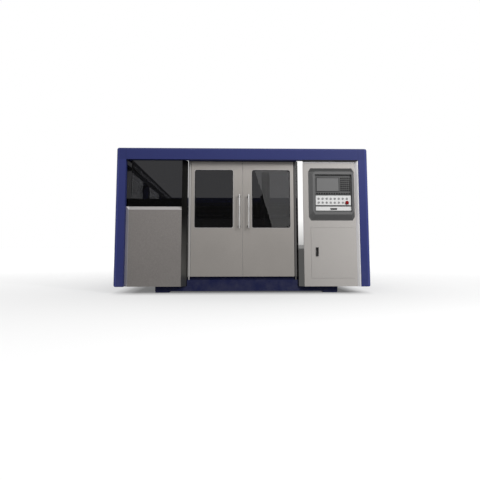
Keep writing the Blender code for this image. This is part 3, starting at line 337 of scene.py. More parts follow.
def plastic(name, rgb, roughness, grain, wear, bump=0.08, specular=0.4):
    values = {"Colour": rgb, "Grain": grain, "Wear": wear, "Roughness": roughness}
    return new_finish(name, "moulded", values, bump=bump, specular=specular)


def tinted_glass(name, rgb, index=1.12):
    """Safety glass: it lets through the tint's share of light, with a faint wiped haze."""
    FINISHES[name], tree, shader = new_material(name)
    shader["Transmission Weight"].default_value = 1.0
    shader["IOR"].default_value = index
    wiped = noise(tree, place_of(tree), 5.0, 4.0, 0.6)
    veil = tuple(0.93 * value + 0.004 for value in rgb)
    feed(tree, shader["Base Color"], mix_colour(tree, spread(tree, wiped, 0.3, 0.7, 0.0, 1.0), rgb, veil))
    feed(tree, shader["Roughness"], spread(tree, wiped, 0.35, 0.75, 0.0, 0.004))


def painted_glow_face():
    """A white plastic face that glows in cells: painted light that lifts the liner and the duct end behind
    the left window; the flat rail lamps wear it too.
    """
    tree = plastic("painted_glow_face", (0.60, 0.60, 0.62), 0.5, 500.0, 0.05).node_tree
    shader = tree.nodes["Principled BSDF"].inputs
    cells = tree.nodes.new("ShaderNodeTexWave")
    cells.bands_direction = "Y"
    cells.inputs["Scale"].default_value = 12.0
    feed(tree, cells.inputs["Vector"], place_of(tree))
    glow = spread(tree, cells.outputs["Fac"], 0.0, 1.0, 0.60, 0.72)
    feed(tree, shader["Emission Color"], mix_colour(tree, glow, BLACK, WHITE))
    shader["Emission Strength"].default_value = 1.0


# Modelling helpers

def release():
    bpy.ops.object.select_all(action="DESELECT")


def choose(piece):
    release()
    piece.select_set(True)
    bpy.context.view_layer.objects.active = piece


def settle(piece):
    """Puts the piece's place, turn and scale into its mesh."""
    choose(piece)
    bpy.ops.object.transform_apply(location=True, rotation=True, scale=True)
    return piece


def block(name, low, high):
    """A cube added at its size and place, ready for shaping."""
    release()
    low, high = Vector(low), Vector(high)
    bpy.ops.mesh.primitive_cube_add(size=1.0, location=(low + high) / 2)
    piece = bpy.context.object
    piece.name = name
    piece.scale = high - low
    return settle(piece)


def pick(piece, kind, rule):
    """Opens a piece in edit mode with the faces or edges that the rule takes."""
    choose(piece)
    bpy.ops.object.mode_set(mode="EDIT")
    bpy.ops.mesh.select_mode(type=kind)
    bpy.ops.mesh.select_all(action="DESELECT")
    mesh = bmesh.from_edit_mesh(piece.data)
    for part in (mesh.faces if kind == "FACE" else mesh.edges):
        if rule(part):
            part.select_set(True)
    bmesh.update_edit_mesh(piece.data)


def leave():
    bpy.ops.object.mode_set(mode="OBJECT")


def pull(move):
    """Draws what is picked out into new faces."""
    bpy.ops.mesh.extrude_region_move(TRANSFORM_OT_translate={"value": move})


def shift(piece, kind, rule, move):
    """Moves the faces or edges that the rule takes."""
    pick(piece, kind, rule)
    bpy.ops.transform.translate(value=move)
    leave()
    return piece


def press(piece, rule, *steps):
    """Insets the faces that the rule takes, once for each (width, depth)."""
    pick(piece, "FACE", rule)
    for width, depth in steps:
        bpy.ops.mesh.inset(thickness=width, depth=depth)
    leave()
    return piece


def every(part):
    return True


def facing(axis, sign):
    return lambda face: face.normal[axis] * sign > 0.9


def along(axis):
    """Rule for edges that run along an axis."""
    def rule(edge):
        run = edge.verts[1].co - edge.verts[0].co
        return abs(run.normalized()[axis]) > 0.99
    return rule


def held(rule):
    """Rule for edges whose two ends both keep to a rule for a point."""
    return lambda edge: all(rule(vertex.co) for vertex in edge.verts)


def round_edges(piece, rule, width, segments=3):
    pick(piece, "EDGE", rule)
    bpy.ops.mesh.bevel(offset=width, segments=segments, affect="EDGES")
    leave()
    return piece


def slab(name, low, high, axis, width, segments=3):
    """A block with its edges along an axis rounded."""
    return round_edges(block(name, low, high), along(axis), width, segments)


def round_sharp(piece, width, segments=2):
    """Rounds every edge that is sharper than the set angle."""
    pick(piece, "EDGE", lambda edge: False)
    bpy.ops.mesh.edges_select_sharp(sharpness=SHARP_ANGLE)
    bpy.ops.mesh.bevel(offset=width, segments=segments, affect="EDGES")
    leave()
    return piece


def tidy(piece):
    """Merges doubles and turns every face outwards."""
    pick(piece, "FACE", every)
    bpy.ops.mesh.remove_doubles(threshold=0.00001)
    bpy.ops.mesh.normals_make_consistent(inside=False)
    leave()
    return piece


def turned(name, profile, centre=(0, 0, 0), axis=2, sides=32):
    """A filled circle drawn out and resized through (radius, height) pairs, along Z or forward along Y."""
    release()
    radius, height = profile[0]
    bpy.ops.mesh.primitive_circle_add(
        vertices=sides, radius=radius, fill_type="NGON", location=(0, 0, height))
    piece = bpy.context.object
    piece.name = name
    settle(piece)
    pick(piece, "FACE", every)
    for next_radius, next_height in profile[1:]:
        pull((0, 0, next_height - height))
        factor = next_radius / radius
        bpy.ops.transform.resize(value=(factor, factor, 1.0), center_override=(0, 0, next_height))
        radius, height = next_radius, next_height
    leave()
    if axis == 1:
        piece.rotation_euler = (math.radians(90), 0, 0)
    piece.location = centre
    return tidy(settle(piece))


def ring(name, low, high, corner, rim, steps=5):
    """A flat rectangular ring standing in the XZ plane, with rounded corners, rim wide."""
    piece = block(name, low, high)
    if rim < corner:
        round_edges(piece, along(1), corner, steps)
    pick(piece, "FACE", lambda face: abs(face.normal.y) > 0.9)
    bpy.ops.mesh.inset(thickness=rim, depth=0.0, use_individual=True)
    bpy.ops.mesh.bridge_edge_loops()
    leave()
    if rim >= corner:
        deep, ends = along(1), (low[0], high[0])
        round_edges(piece, lambda edge: deep(edge) and min(abs(edge.verts[0].co.x - x) for x in ends) < 1e-5,
                    corner, steps)
    return tidy(piece)


def ring_round(name, box, out, near, far, corner, rim, steps=5):
    """A ring that stands out past a box's sides, from one depth to another."""
    low, high = box
    return ring(name, (low.x - out, near, low.z - out), (high.x + out, far, high.z + out), corner, rim, steps)


def cut_below(piece, height):
    """Cuts off what lies below a height and closes the cut."""
    pick(piece, "FACE", every)
    bpy.ops.mesh.bisect(plane_co=(0, 0, height), plane_no=(0, 0, 1), clear_inner=True, use_fill=True)
    leave()
    return tidy(piece)


def weld(name, pieces):
    """Joins pieces into one object."""
    release()
    for piece in pieces:
        piece.select_set(True)
    bpy.context.view_layer.objects.active = pieces[0]
    if len(pieces) > 1:
        bpy.ops.object.join()
    piece = bpy.context.object
    piece.name = name
    return piece


def copies(name, model, places):
    """Copies a model to each place, with its own mesh, and joins the copies into one piece."""
    made = []
    for place in places:
        copy = model.copy()
        copy.data = model.data.copy()
        bpy.context.scene.collection.objects.link(copy)
        copy.data.transform(Matrix.Translation(Vector(place)))
        made.append(copy)
    bpy.data.objects.remove(model)
    return weld(name, made)


def dress(piece, finish, body, stands_for=(), angle=35):
    """Last step of every piece: smooth shading, finish and body; hides the solids it stands for."""
    choose(piece)
    bpy.ops.object.shade_smooth_by_angle(angle=math.radians(angle))
    piece.data.materials.clear()
    piece.data.materials.append(FINISHES[finish])
    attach(piece, body)
    if stands_for:
        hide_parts(*stands_for)
    return piece


def hexagon_bolt(name, radius, axis):
    """A hexagon head on its washer, standing on the origin."""
    wide, thick = radius * 1.45, radius * 0.18
    washer = turned(name + "_washer", [(wide, 0.0), (wide, thick)], axis=axis, sides=16)
    head = turned(name + "_head", [(radius, thick), (radius, radius * 0.72), (radius * 0.86, radius * 0.82)],
                  axis=axis, sides=6)
    return weld(name, [washer, head])


def aim_out(piece, turn, place):
    """Turns a piece that was modelled facing forward, and puts its origin at a place."""
    piece.rotation_euler = (0, 0, math.radians(turn))
    piece.location = place
    return settle(piece)


def sheet_panel(name, wide, tall, slots=0):
    """A removable cover sheet facing forward, with a pressed field and rows of hooded air slots."""
    panel = block(name, (0, -0.004, 0), (wide, 0, tall))
    press(panel, facing(1, -1), (min(0.032, wide * 0.2), 0.0), (0.004, -0.0016))
    round_edges(panel, along(1), 0.008, 3)
    round_sharp(panel, 0.0007, 1)
    if not slots:
        return panel
    span = min(0.34, wide - 0.16)
    hood = block(name + "_hood", (0, -0.0085, 0), (span, -0.0020, 0.014))
    shift(hood, "EDGE", held(lambda point: point.y < -0.008 and point.z > 0.013), (0, 0.0055, 0))
    round_edges(hood, along(2), 0.0025, 2)
    left, low = (wide - span) / 2, tall * 0.62
    hoods = copies(name + "_hoods", hood, [(left, 0, low + 0.028 * i) for i in range(slots)])
    return weld(name, [panel, hoods])


def quarter_turn(name, radius=0.019):
    """A round quarter-turn fastener with a slotted key, facing forward."""
    disc = turned(name, [(radius, 0.0), (radius, 0.0022), (radius * 0.88, 0.0034), (radius * 0.55, 0.0034),
                         (radius * 0.50, 0.0022), (radius * 0.30, 0.0022)], axis=1, sides=24)
    reach, half = radius * 0.42, radius * 0.10
    key = block(name + "_key", (-reach, -0.0045, -half), (reach, -0.0020, half))
    return weld(name, [disc, key])


def grid(columns, rows, y=-0.004):
    """Places on a sheet facing forward, column by column."""
    return [(x, y, z) for x in columns for z in rows]


def cover_row(name, body, turn, places, size, slotted, spots, radius=0.019):
    """Cover sheets side by side, some with air slots, and their quarter-turn fasteners."""
    sheets, locks = [], []
    for index, place in enumerate(places):
        sheets.append(aim_out(sheet_panel(name + "_sheet", *size, slotted.get(index, 0)), turn, place))
        locks.append(aim_out(copies("locks", quarter_turn("lock", radius), spots), turn, place))
    dress(weld(name + "_covers", sheets), "cover_coat", body, angle=15)
    dress(weld(name + "_cover_locks", locks), "latch_black", body)


# Stage

WORLD_LIGHT = 0.42
FLOOR_GLOW = 0.67
FLOOR_GREY = (0.30, 0.30, 0.30)


class CUTTER_OT_stage(bpy.types.Operator):
    """Adds the pale floor, the soft lamps, the background and the camera"""
    bl_idname = "cutter.stage"
    bl_label = "Stage"

    def execute(self, context):
        add_floor()
        add_background(context.scene)
        add_lamps()
        add_cards()
        add_camera(context.scene)
        context.scene.view_settings.view_transform = "Standard"
        return {"FINISHED"}


def seen_directly(tree):
    """One for camera, glossy and transmission rays, nought for the rays that light the object."""
    path = tree.nodes.new("ShaderNodeLightPath").outputs
    shown = maths(tree, "MAXIMUM", path["Is Camera Ray"], path["Is Glossy Ray"])
    return maths(tree, "MAXIMUM", shown, path["Is Transmission Ray"])


def glowing_plane(name, size, base):
    """A plane that shines white and has no gloss; returned with its node tree and its shader's inputs."""
    release()
    bpy.ops.mesh.primitive_plane_add(size=size)
    plane = bpy.context.object
    plane.name = name
    finish, tree, shader = new_material(name)
    shader["Specular IOR Level"].default_value = 0.0
    feed(tree, shader["Base Color"], base)
    feed(tree, shader["Emission Color"], WHITE)
    plane.data.materials.append(finish)
    return plane, tree, shader


def add_floor():
    """A pale floor that runs out white under the camera and keeps the machine's soft shadow, deepened by a
    painted shadow near and under the machine.
    """
    floor, tree, shader = glowing_plane("studio_floor", 400.0, FLOOR_GREY)
    shader["Roughness"].default_value = 0.9
    away = vector_maths(tree, "DISTANCE", place_of(tree), (0.0, FRONT - 0.3, 0.0))["Value"]
    feet, middle, end = 0.5, 4.5, 14.0
    # The glow rises with distance from 0.50 at the machine's feet: painted shadow round the machine.
    near = spread(tree, away, feet, middle, 0.50, FLOOR_GLOW)
    far = spread(tree, away, middle, end, 0.0, 1.0 - FLOOR_GLOW)
    axes = axes_of(tree)
    # Under the machine's footprint the glow is cut by up to 0.75: painted contact shadow.
    across = spread(tree, maths(tree, "ABSOLUTE", axes["X"], 0.0), 1.50, 1.85, 0.75, 0.0)
    front = spread(tree, axes["Y"], FRONT - 0.30, FRONT + 0.12, 0.0, 1.0)
    rear = spread(tree, axes["Y"], FRONT + 5.9, FRONT + 6.3, 1.0, 0.0)
    under = maths(tree, "MULTIPLY", across, maths(tree, "MULTIPLY", front, rear))
    lit = maths(tree, "MULTIPLY", maths(tree, "ADD", near, far), maths(tree, "SUBTRACT", 1.0, under))
    feed(tree, shader["Emission Strength"], maths(tree, "MULTIPLY", seen_directly(tree), lit))


def add_background(scene):
    """White to the camera, in gloss and through glass; a soft sky for the light."""
    world = bpy.data.worlds.new("studio")
    world.use_nodes = True
    tree = world.node_tree
    shader = tree.nodes["Background"].inputs
    shown = maths(tree, "MULTIPLY", seen_directly(tree), 1.0 - WORLD_LIGHT)
    feed(tree, shader["Strength"], maths(tree, "ADD", shown, WORLD_LIGHT))
    feed(tree, shader["Color"], WHITE)
    scene.world = world


def add_lamp(name, place, target, size, power):
    release()
    bpy.ops.object.light_add(type="AREA", location=place)
    lamp = bpy.context.object
    lamp.name = name
    lamp.data.shape = "RECTANGLE"
    lamp.data.size, lamp.data.size_y = size
    lamp.data.energy = power
    aim = Vector(target) - Vector(place)
    lamp.rotation_euler = aim.to_track_quat("-Z", "Y").to_euler()
    return lamp


def add_lamps():
    add_lamp("key_lamp", (5.0, FRONT - 6.8, 4.6), (0.8, FRONT, 1.0), (1.5, 1.4), 400.0)
    add_lamp("front_lamp", (0.5, FRONT - 5.0, 5.6), (0.3, FRONT, 1.4), (5.0, 2.5), 180.0)
    add_lamp("top_lamp", (0.0, 0.5, 8.5), (0.0, 0.0, 0.0), (9.0, 9.0), 300.0)
    pane = add_lamp("pane_lamp", (3.16, FRONT - 8.0, 1.55), (3.16, FRONT, 1.55), (4.0, 5.0), 1.0)
    pane.rotation_euler.rotate_axis("Z", math.radians(17.0))
    light_only(pane, "right_pane", 14.5)
    x, y = 0.545, FRONT + 0.060
    strip = add_lamp("strip_lamp", (x, y, 1.8862), (x, y, 0.0), (0.50, 0.130), 1.0)
    light_only(strip, "right_strip", 4.1)


def light_only(lamp, name, radiance):
    """Sets a lamp's radiance and lets it light one piece alone."""
    lamp.data.energy = radiance * math.pi * lamp.data.size * lamp.data.size_y
    lamp.visible_camera = False
    only = bpy.data.collections.new(lamp.name + "_pieces")
    only.objects.link(bpy.data.objects[name])
    lamp.light_linking.receiver_collection = only


def add_card(name, corners, strength, foot=None, rise=0.75):
    """A studio card that only shows in gloss, dimmer from its foot up where a foot height is given."""
    card, tree, shader = glowing_plane(name, 1.0, BLACK)
    for vertex, place in zip(card.data.vertices, corners):
        vertex.co = place
    if foot is not None:
        strength = spread(tree, axes_of(tree)["Z"], foot, foot + rise, 0.50 * strength, strength)
    feed(tree, shader["Emission Strength"], strength)
    card.visible_camera = False
    card.visible_diffuse = False
    card.visible_transmission = False
    card.visible_shadow = False


def add_cards():
    """A dim card for the ground half of the reflections, and a bright one for the glossy strip."""
    near, far, wide, foot, top = FRONT - 0.2, FRONT - 400.0, 400.0, 0.71, 5.0
    add_card("ground_card", [(x, y, 0.004) for y in (far, near) for x in (-wide, wide)], 0.34)
    ends = ((-6.3, FRONT - 3.8), (-7.4, FRONT - 0.4))
    add_card("strip_card", [(x, y, z) for z in (foot, top) for x, y in ends], 4.1, foot)


def add_camera(scene):
    data = bpy.data.cameras.new("camera")
    data.sensor_width = 36.0
    data.lens = 40.0875
    data.shift_y = -0.12375
    data.clip_end = 400.0
    camera = bpy.data.objects.new("camera", data)
    camera.location = (-0.265, FRONT - 7.573, 0.630)
    camera.rotation_euler = (math.radians(97.16), 0.0, math.radians(-1.70))
    scene.collection.objects.link(camera)
    scene.camera = camera


# Finishes of the CAD nodes

WORN = {
    "portal_coat": ["portal_frame"],
    "shaded_bed_coat": ["bed_frame"],
    "wall_coat": ["left_side_wall", "right_side_wall"],
    "blue_coat": ["rear_wall", "crossbeam"],
    "panel_coat": ["left_front_panel"],
    "door_coat": ["left_door_leaf", "right_door_leaf"],
    "cabinet_coat": ["control_cabinet", "cabinet_door"],
    "console_coat": ["console_housing"],
    "case_coat": ["laser_source", "left_carriage", "right_carriage", "cutting_head", "scrap_drawer"],
    "dark_chrome": ["left_corner_strip", "right_corner_strip"],
    "safety_glass": ["left_window", "left_door_window", "right_door_window"],
    "clear_pane": ["left_side_window", "right_side_window"],
    "screen_face": ["screen"],
    "key_black": ["keypad", "key_row"],
    "latch_black": ["cabinet_latch"],
    "plate_white": ["button_plate", "keyboard_drawer"],
    "button_grey": ["button_%d" % index for index in range(1, BUTTON_COUNT + 1)],
    "stop_red": ["emergency_stop"],
    "bright_steel": ["left_gantry_rail", "right_gantry_rail", "lower_beam_rail", "upper_beam_rail"],
    "post_coat": ["left_door_pivot"],
    "post_painted_shade": ["right_door_pivot"],
    "raw_steel": ["left_gantry_rack", "right_gantry_rack", "beam_rack", "slat_pallet"],
    "satin_aluminium": ["head_carriage", "left_door_handle", "right_door_handle"],
    "turned_copper": ["nozzle"],
}


class CUTTER_OT_finishes(bpy.types.Operator):
    """Builds the finishes and puts them on the fixed solids"""
    bl_idname = "cutter.finishes"
    bl_label = "Finishes"

    def execute(self, context):
        for build in (build_paint_group, build_metal_group, build_band_group, build_plastic_group):
            build()
        colours = context.scene.cutter_colours
        build_paints(colours)
        build_metals()
        build_plastics(colours)
        painted_glow_face()
        tinted_glass("safety_glass", colours.glass)
        tinted_glass("clear_pane", (0.97, 0.98, 0.98), 1.03)
        for finish, names in WORN.items():
            for name in names:
                NODES[name].material_slots[0].material = FINISHES[finish]
        return {"FINISHED"}


def build_paints(colours):
    """Powder coats. The bands darken seams and paint light and shade into the colours: painted highlights on
    edges and faces that catch the light, painted shade in recesses, on the insides and on faces turned from
    the lamps.
    """
    blue = colours.blue
    paint("blue_coat", blue, cloud=0.08, speckle=0.06, dust=0.10, specular=0.10)
    wall = paint("wall_coat", blue, cloud=0.08, speckle=0.06, dust=0.10, specular=0.10)
    # The walls' inner faces, from |x| 1.603 inwards, are darkened to 0.30: painted shade inside the
    # enclosure.
    tone_bands(wall, ("|X|", 1.6030, -0.0010, 0.30))
    portal = paint("portal_coat", blue, speckle=0.06, dust=0.08, specular=0.10)
    # Dark seam line at |x| 1.6655 and a dark line at |x| 1.756. The lighter band from |x| 1.7595 outwards is
    # a painted highlight on the columns' rounded outer edges, the dark band above z 2.045 is painted shade on
    # the beam's top edge, and above z 1.885 the beam is toned 0.86 against the columns.
    tone_bands(portal, ("|X|", 1.6655, 0.0006, 0.62, 1.6695), ("|X|", 1.7560, 0.0006, 0.70, 1.7590),
               ("|X|", 1.7595, 0.0020, 1.35), ("Z", 2.0450, 0.0040, 0.45), ("Z", 1.8850, 0.0040, 0.86))
    # A darker copy of the frame blue for the bed, sill riser, door top seal and window rail: painted shade on
    # the set-back base and the inner parts.
    dark = tuple(0.34 * value for value in blue)
    paint("shaded_bed_coat", dark, roughness=0.5, cloud=0.10, speckle=0.08, dust=0.08, specular=0.08)
    paint("panel_coat", colours.panel, roughness=0.40, speckle=0.60, dust=0.08, flake=0.5)
    door = paint("door_coat", colours.door, roughness=0.40, speckle=0.12, flake=0.6)
    # Lighter bands along the leaves' outer edges and bottom edge: painted highlight on the bevelled edges.
    tone_bands(door, ("|X|", 0.7365, 0.002, 1.25), ("Z", 0.2310, -0.002, 1.22))
    paint("cover_coat", blue, roughness=0.5, cloud=0.10, dust=0.20, specular=0.14)
    paint("duct_grey", (0.58, 0.58, 0.62), dust=0.0)
    # This lighter coat on the panel chamfers and the window rims is a painted highlight. The band lightens
    # the left chamfer more: painted light on the chamfer that faces away from the lamps.
    trim = paint("trim_highlight_coat", (0.40, 0.385, 0.378), roughness=0.42, dust=0.05)
    tone_bands(trim, ("X", -1.6160, -0.0020, 1.5))
    # White for the cabinet's edge trim, which also paints the bright lines along the cabinet's top and right
    # edges: painted highlight.
    paint("trim_highlight_white", (0.72, 0.71, 0.72), roughness=0.4, speckle=0.03, dust=0.04)
    paint("post_coat", (0.34, 0.33, 0.32), roughness=0.5, dust=0.05)
    # A darker copy of the post paint for the right pivot: painted shade on the post in the right recess.
    paint("post_painted_shade", (0.085, 0.082, 0.080), roughness=0.55, dust=0.05)
    cabinet = paint("cabinet_coat", colours.cabinet, roughness=0.5, flake=0.08)
    # Lighter towards the right side: painted light from the lamps on the right.
    tone_bands(cabinet, ("X", 0.90, 0.75, 1.14))
    console = paint("console_coat", colours.console, dust=0.0)
    # Darker above z 1.717 on the top chamfer, and darker in the recess behind the front face: painted shade.
    tone_bands(console, ("Z", 1.7170, 0.0030, 0.52), ("Y", FRONT + 0.002, 0.002, 0.82, FRONT + 0.040))
    paint("case_coat", (0.09, 0.09, 0.095))
    # A much darker copy of the strip chrome for the left strip, lighter towards its foot below z 1.10:
    # painted reflection.
    painted_dark = paint("painted_dark_chrome", (0.026, 0.026, 0.025), roughness=0.30, cloud=0.04, speckle=0.02, dust=0.0,
                   flake=1.0)
    tone_bands(painted_dark, ("Z", 1.10, -0.75, 6.5))


def build_metals():
    metal("dark_chrome", (0.25, 0.248, 0.245), 0.02, (1.0, 1.0, 0.01), 0.02, 0.02, bump=0.0)
    metal("bright_steel", (0.62, 0.62, 0.63), 0.28, (1.0, 0.01, 1.0), 0.12, 0.10)
    metal("raw_steel", (0.26, 0.25, 0.24), 0.55, (0.05, 1.0, 1.0), 0.25, 0.60, 0.2)
    satin = metal("satin_aluminium", (0.31, 0.305, 0.30), 0.48, (1.0, 1.0, 0.02), 0.10, 0.05)
    # Lighter below z 1.20: painted highlight meant for the lower ends of the handle bars.
    tone_bands(satin, ("Z", 1.20, -0.24, 2.0))
    # Dark steel for the handle feet: painted shadow of the feet and bar on the doors.
    metal("foot_steel_shadowed", (0.11, 0.109, 0.107), 0.45, (1.0, 1.0, 1.0), 0.10, 0.05)
    metal("turned_copper", (0.62, 0.31, 0.17), 0.28, (1.0, 1.0, 1.0), 0.12, 0.15)
    metal("bolt_steel", (0.50, 0.50, 0.51), 0.36, (1.0, 1.0, 1.0), 0.10, 0.15)


def build_plastics(colours):
    plastic("screen_face", colours.screen, 0.35, 300.0, 0.04, bump=0.0, specular=0.15)
    plastic("mat_grey", (0.095, 0.095, 0.095), 0.60, 700.0, 0.08, specular=0.15)
    plastic("bezel_black", (0.022, 0.022, 0.023), 0.4, 700.0, 0.10)
    plastic("key_black", colours.key, 0.5, 900.0, 0.15, specular=0.12)
    plastic("latch_black", (0.012, 0.012, 0.012), 0.5, 700.0, 0.12, specular=0.12)
    plastic("plate_white", colours.plate, 0.42, 500.0, 0.04, bump=0.04)
    plastic("button_grey", colours.button, 0.35, 800.0, 0.10)
    plastic("stop_red", colours.stop, 0.42, 900.0, 0.0, bump=0.03, specular=0.10)
    plastic("rubber", (0.012, 0.012, 0.012), 0.7, 400.0, 0.2, specular=0.2)


# Door fittings

class CUTTER_OT_door_windows(bpy.types.Operator):
    """Models each door window's pane and adds the rubber seal and the rim round it, in the lighter trim coat
    as a painted highlight
    """
    bl_idname = "cutter.door_windows"
    bl_label = "Door windows"

    def execute(self, context):
        sizes = context.scene.cutter_sizes
        for side in SIDES:
            body = side + "_door"
            low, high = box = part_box(side + "_door_window")
            pane = slab(side + "_pane", low, high, 1, PANE_CORNER, 6)
            round_sharp(pane, 0.0006, 1)
            dress(pane, "safety_glass", body, [side + "_door_window"], angle=10)
            seal = ring_round(side + "_window_seal", box, 0.0, LEAF_FACE + 0.0004, low.y - GAP,
                              PANE_CORNER, sizes.seal_width)
            round_sharp(seal, 0.0012, 2)
            dress(seal, "rubber", body)
            out = sizes.rim_width + GAP
            # The rim is in the lighter trim coat: painted highlight round the window.
            rim = ring_round(side + "_window_rim", box, out, LEAF_FACE - 0.0035, LEAF_FACE - GAP,
                             PANE_CORNER + out, sizes.rim_width)
            round_sharp(rim, 0.0016, 3)
            dress(rim, "trim_highlight_coat", body)
        return {"FINISHED"}


class CUTTER_OT_handles(bpy.types.Operator):
    """Models the door handles: a tube with domed ends on two flanged standoffs"""
    bl_idname = "cutter.handles"
    bl_label = "Door handles"

    def execute(self, context):
        radius = context.scene.cutter_sizes.handle_radius
        for side in SIDES:
            body, solid = side + "_door", side + "_door_handle"
            low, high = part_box(solid)
            x, y, tall = (low.x + high.x) / 2, low.y + 0.013, high.z - low.z
            dome = radius * 0.55
            bar = turned(side + "_handle_bar", [
                (radius * 0.45, 0.0), (radius * 0.82, dome * 0.25), (radius, dome), (radius, tall - dome),
                (radius * 0.82, tall - dome * 0.25), (radius * 0.45, tall),
            ], (x, y, low.z), sides=40)
            reach = LEAF_FACE - GAP - y
            knob = turned(side + "_knob", [
                (0.0200, -reach), (0.0208, -reach + 0.0015), (0.0208, -reach + 0.009),
                (0.0185, -reach + 0.0115), (0.0115, -reach + 0.013), (0.0100, -reach + 0.020), (0.0100, 0.0),
            ], axis=1)
            feet = copies(side + "_feet", knob, [(x, y, low.z + 0.032), (x, y, high.z - 0.032)])
            dress(bar, "satin_aluminium", body, [solid])
            dress(feet, "foot_steel_shadowed", body, [solid])
        return {"FINISHED"}


class CUTTER_OT_strips(bpy.types.Operator):
    """Models the two folded corner strips beside the doors as polished sheet, the left one in a darker copy
    of the chrome with a painted reflection
    """
    bl_idname = "cutter.strips"
    bl_label = "Corner strips"

    def execute(self, context):
        widest, deepest = 0.793, 0.150
        for side, sign, inner, depth, finish in (
                ("left", -1, widest, deepest, "painted_dark_chrome"), ("right", 1, 0.800, 0.110, "dark_chrome")):
            low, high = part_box(side + "_corner_strip")
            first, last = sorted((sign * inner, sign * max(abs(low.x), abs(high.x))))
            strip = block(side + "_strip", (first, low.y, low.z), (last, low.y + 0.003, high.z))
            pick(strip, "FACE", facing(0, -sign))
            bpy.ops.transform.translate(value=(0, FRONT + depth - low.y, 0))
            if depth < deepest:
                pull((sign * (widest - inner), deepest - depth, 0))
            pull((0, 0.060, 0))
            leave()
            round_edges(strip, along(2), 0.0012, 2)
            dress(tidy(strip), finish, "machine_frame", [side + "_corner_strip"], angle=5)
        return {"FINISHED"}


class CUTTER_OT_sill_riser(bpy.types.Operator):
    """Adds the upstand on the sill behind the doors' lower pins"""
    bl_idname = "cutter.sill_riser"
    bl_label = "Sill riser"

    def execute(self, context):
        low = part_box("left_door_leaf")[0].z
        riser = block("sill_riser", (-0.789, LEAF_BACK + 0.008, low - 0.0447),
                      (0.789, LEAF_BACK + 0.013, low - 0.0015))
        dress(round_sharp(riser, 0.0012, 2), "shaded_bed_coat", "machine_frame")
        return {"FINISHED"}


class CUTTER_OT_panel_trim(bpy.types.Operator):
    """Adds a folded sheet on the low panel's chamfers, lighter than the panel: painted highlight on the
    chamfers
    """
    bl_idname = "cutter.panel_trim"
    bl_label = "Panel trim"

    def execute(self, context):
        low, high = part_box("left_front_panel")
        fold, sheet = 0.047, 0.0012
        trim = block("panel_trim", (low.x + 0.0005, low.y - 0.0006, low.z + 0.001),
                     (high.x - 0.0005, high.y, high.z + 0.0004))
        top = held(lambda point: point.y < low.y and point.z > high.z)
        left = held(lambda point: point.y < low.y and point.x < low.x + 0.001)
        round_edges(trim, lambda edge: top(edge) or left(edge), fold, 1)
        pick(trim, "FACE", lambda face: not slanted(face))
        bpy.ops.mesh.delete(type="FACE")
        leave()
        choose(trim)
        skin = trim.modifiers.new("skin", "SOLIDIFY")
        skin.thickness = sheet
        skin.offset = 1.0
        bpy.ops.object.modifier_apply(modifier="skin")
        # Lighter than the panel: painted highlight on the chamfers.
        dress(trim, "trim_highlight_coat", "machine_frame")
        return {"FINISHED"}


def slanted(face):
    """A chamfer face: it looks forward and upward, or forward and sideways."""
    return face.normal.y < -0.3 and (face.normal.z > 0.3 or face.normal.x < -0.3)


class CUTTER_OT_top_seal(bpy.types.Operator):
    """Adds the brush seal between the doors' top edges and the header"""
    bl_idname = "cutter.top_seal"
    bl_label = "Door top seal"

    def execute(self, context):
        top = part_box("left_door_leaf")[1].z
        seal = block("door_top_seal", (-0.788, LEAF_FACE + 0.004, top + 0.0006),
                     (0.788, LEAF_BACK - 0.006, top + 0.0355))
        dress(round_sharp(seal, 0.002, 2), "shaded_bed_coat", "machine_frame")
        return {"FINISHED"}


# Wall fittings

class CUTTER_OT_side_covers(bpy.types.Operator):
    """Adds the removable cover sheets with air slots and fasteners along both side walls"""
    bl_idname = "cutter.side_covers"
    bl_label = "Side covers"

    def execute(self, context):
        count, height, tall = 5, 0.115, 1.035
        for side, turn in (("left", -90), ("right", 90)):
            low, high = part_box(side + "_side_wall")
            first = low.y + 0.030
            pitch = (high.y - 0.030 - first) / count
            wide = pitch - 0.010
            face, origin = (low.x - GAP, 0.005 + wide) if side == "left" else (high.x + GAP, 0.005)
            places = [(face, first + index * pitch + origin, height) for index in range(count)]
            spots = grid((0.030, wide - 0.030), (0.030, tall / 2, tall - 0.030))
            cover_row(side, "machine_frame", turn, places, (wide, tall), {1: 9, 3: 9}, spots)
        return {"FINISHED"}


class CUTTER_OT_side_frames(bpy.types.Operator):
    """Adds the rubber-edged frames round the side panes, between the posts"""
    bl_idname = "cutter.side_frames"
    bl_label = "Side window frames"

    def execute(self, context):
        edge = 0.013
        for side, turn in (("left", -90), ("right", 90)):
            low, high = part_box(side + "_side_window")
            face = (low.x - GAP) if side == "left" else (high.x + GAP)
            ends = (low.y, *POSTS, high.y)
            frames, screws = [], []
            for start, end in zip(ends, ends[1:]):
                start, end = start + 0.002, end - 0.002
                wide, tall = end - start, high.z - low.z
                bar = ring("bar", (0, -0.006, 0), (wide, 0, tall), 0.024, 2 * edge, 4)
                round_sharp(bar, 0.0018, 2)
                columns = [edge + (wide - 2 * edge) * i / 6 for i in range(7)]
                spots = grid(columns, (edge, tall - edge), -0.006)
                origin = (face, start if side == "right" else end, low.z)
                frames.append(aim_out(bar, turn, origin))
                row = copies("screws", hexagon_bolt("screw", 0.0055, 1), spots)
                screws.append(aim_out(row, turn, origin))
            dress(weld(side + "_pane_frames", frames), "case_coat", "machine_frame")
            dress(weld(side + "_pane_screws", screws), "bolt_steel", "machine_frame")
        return {"FINISHED"}


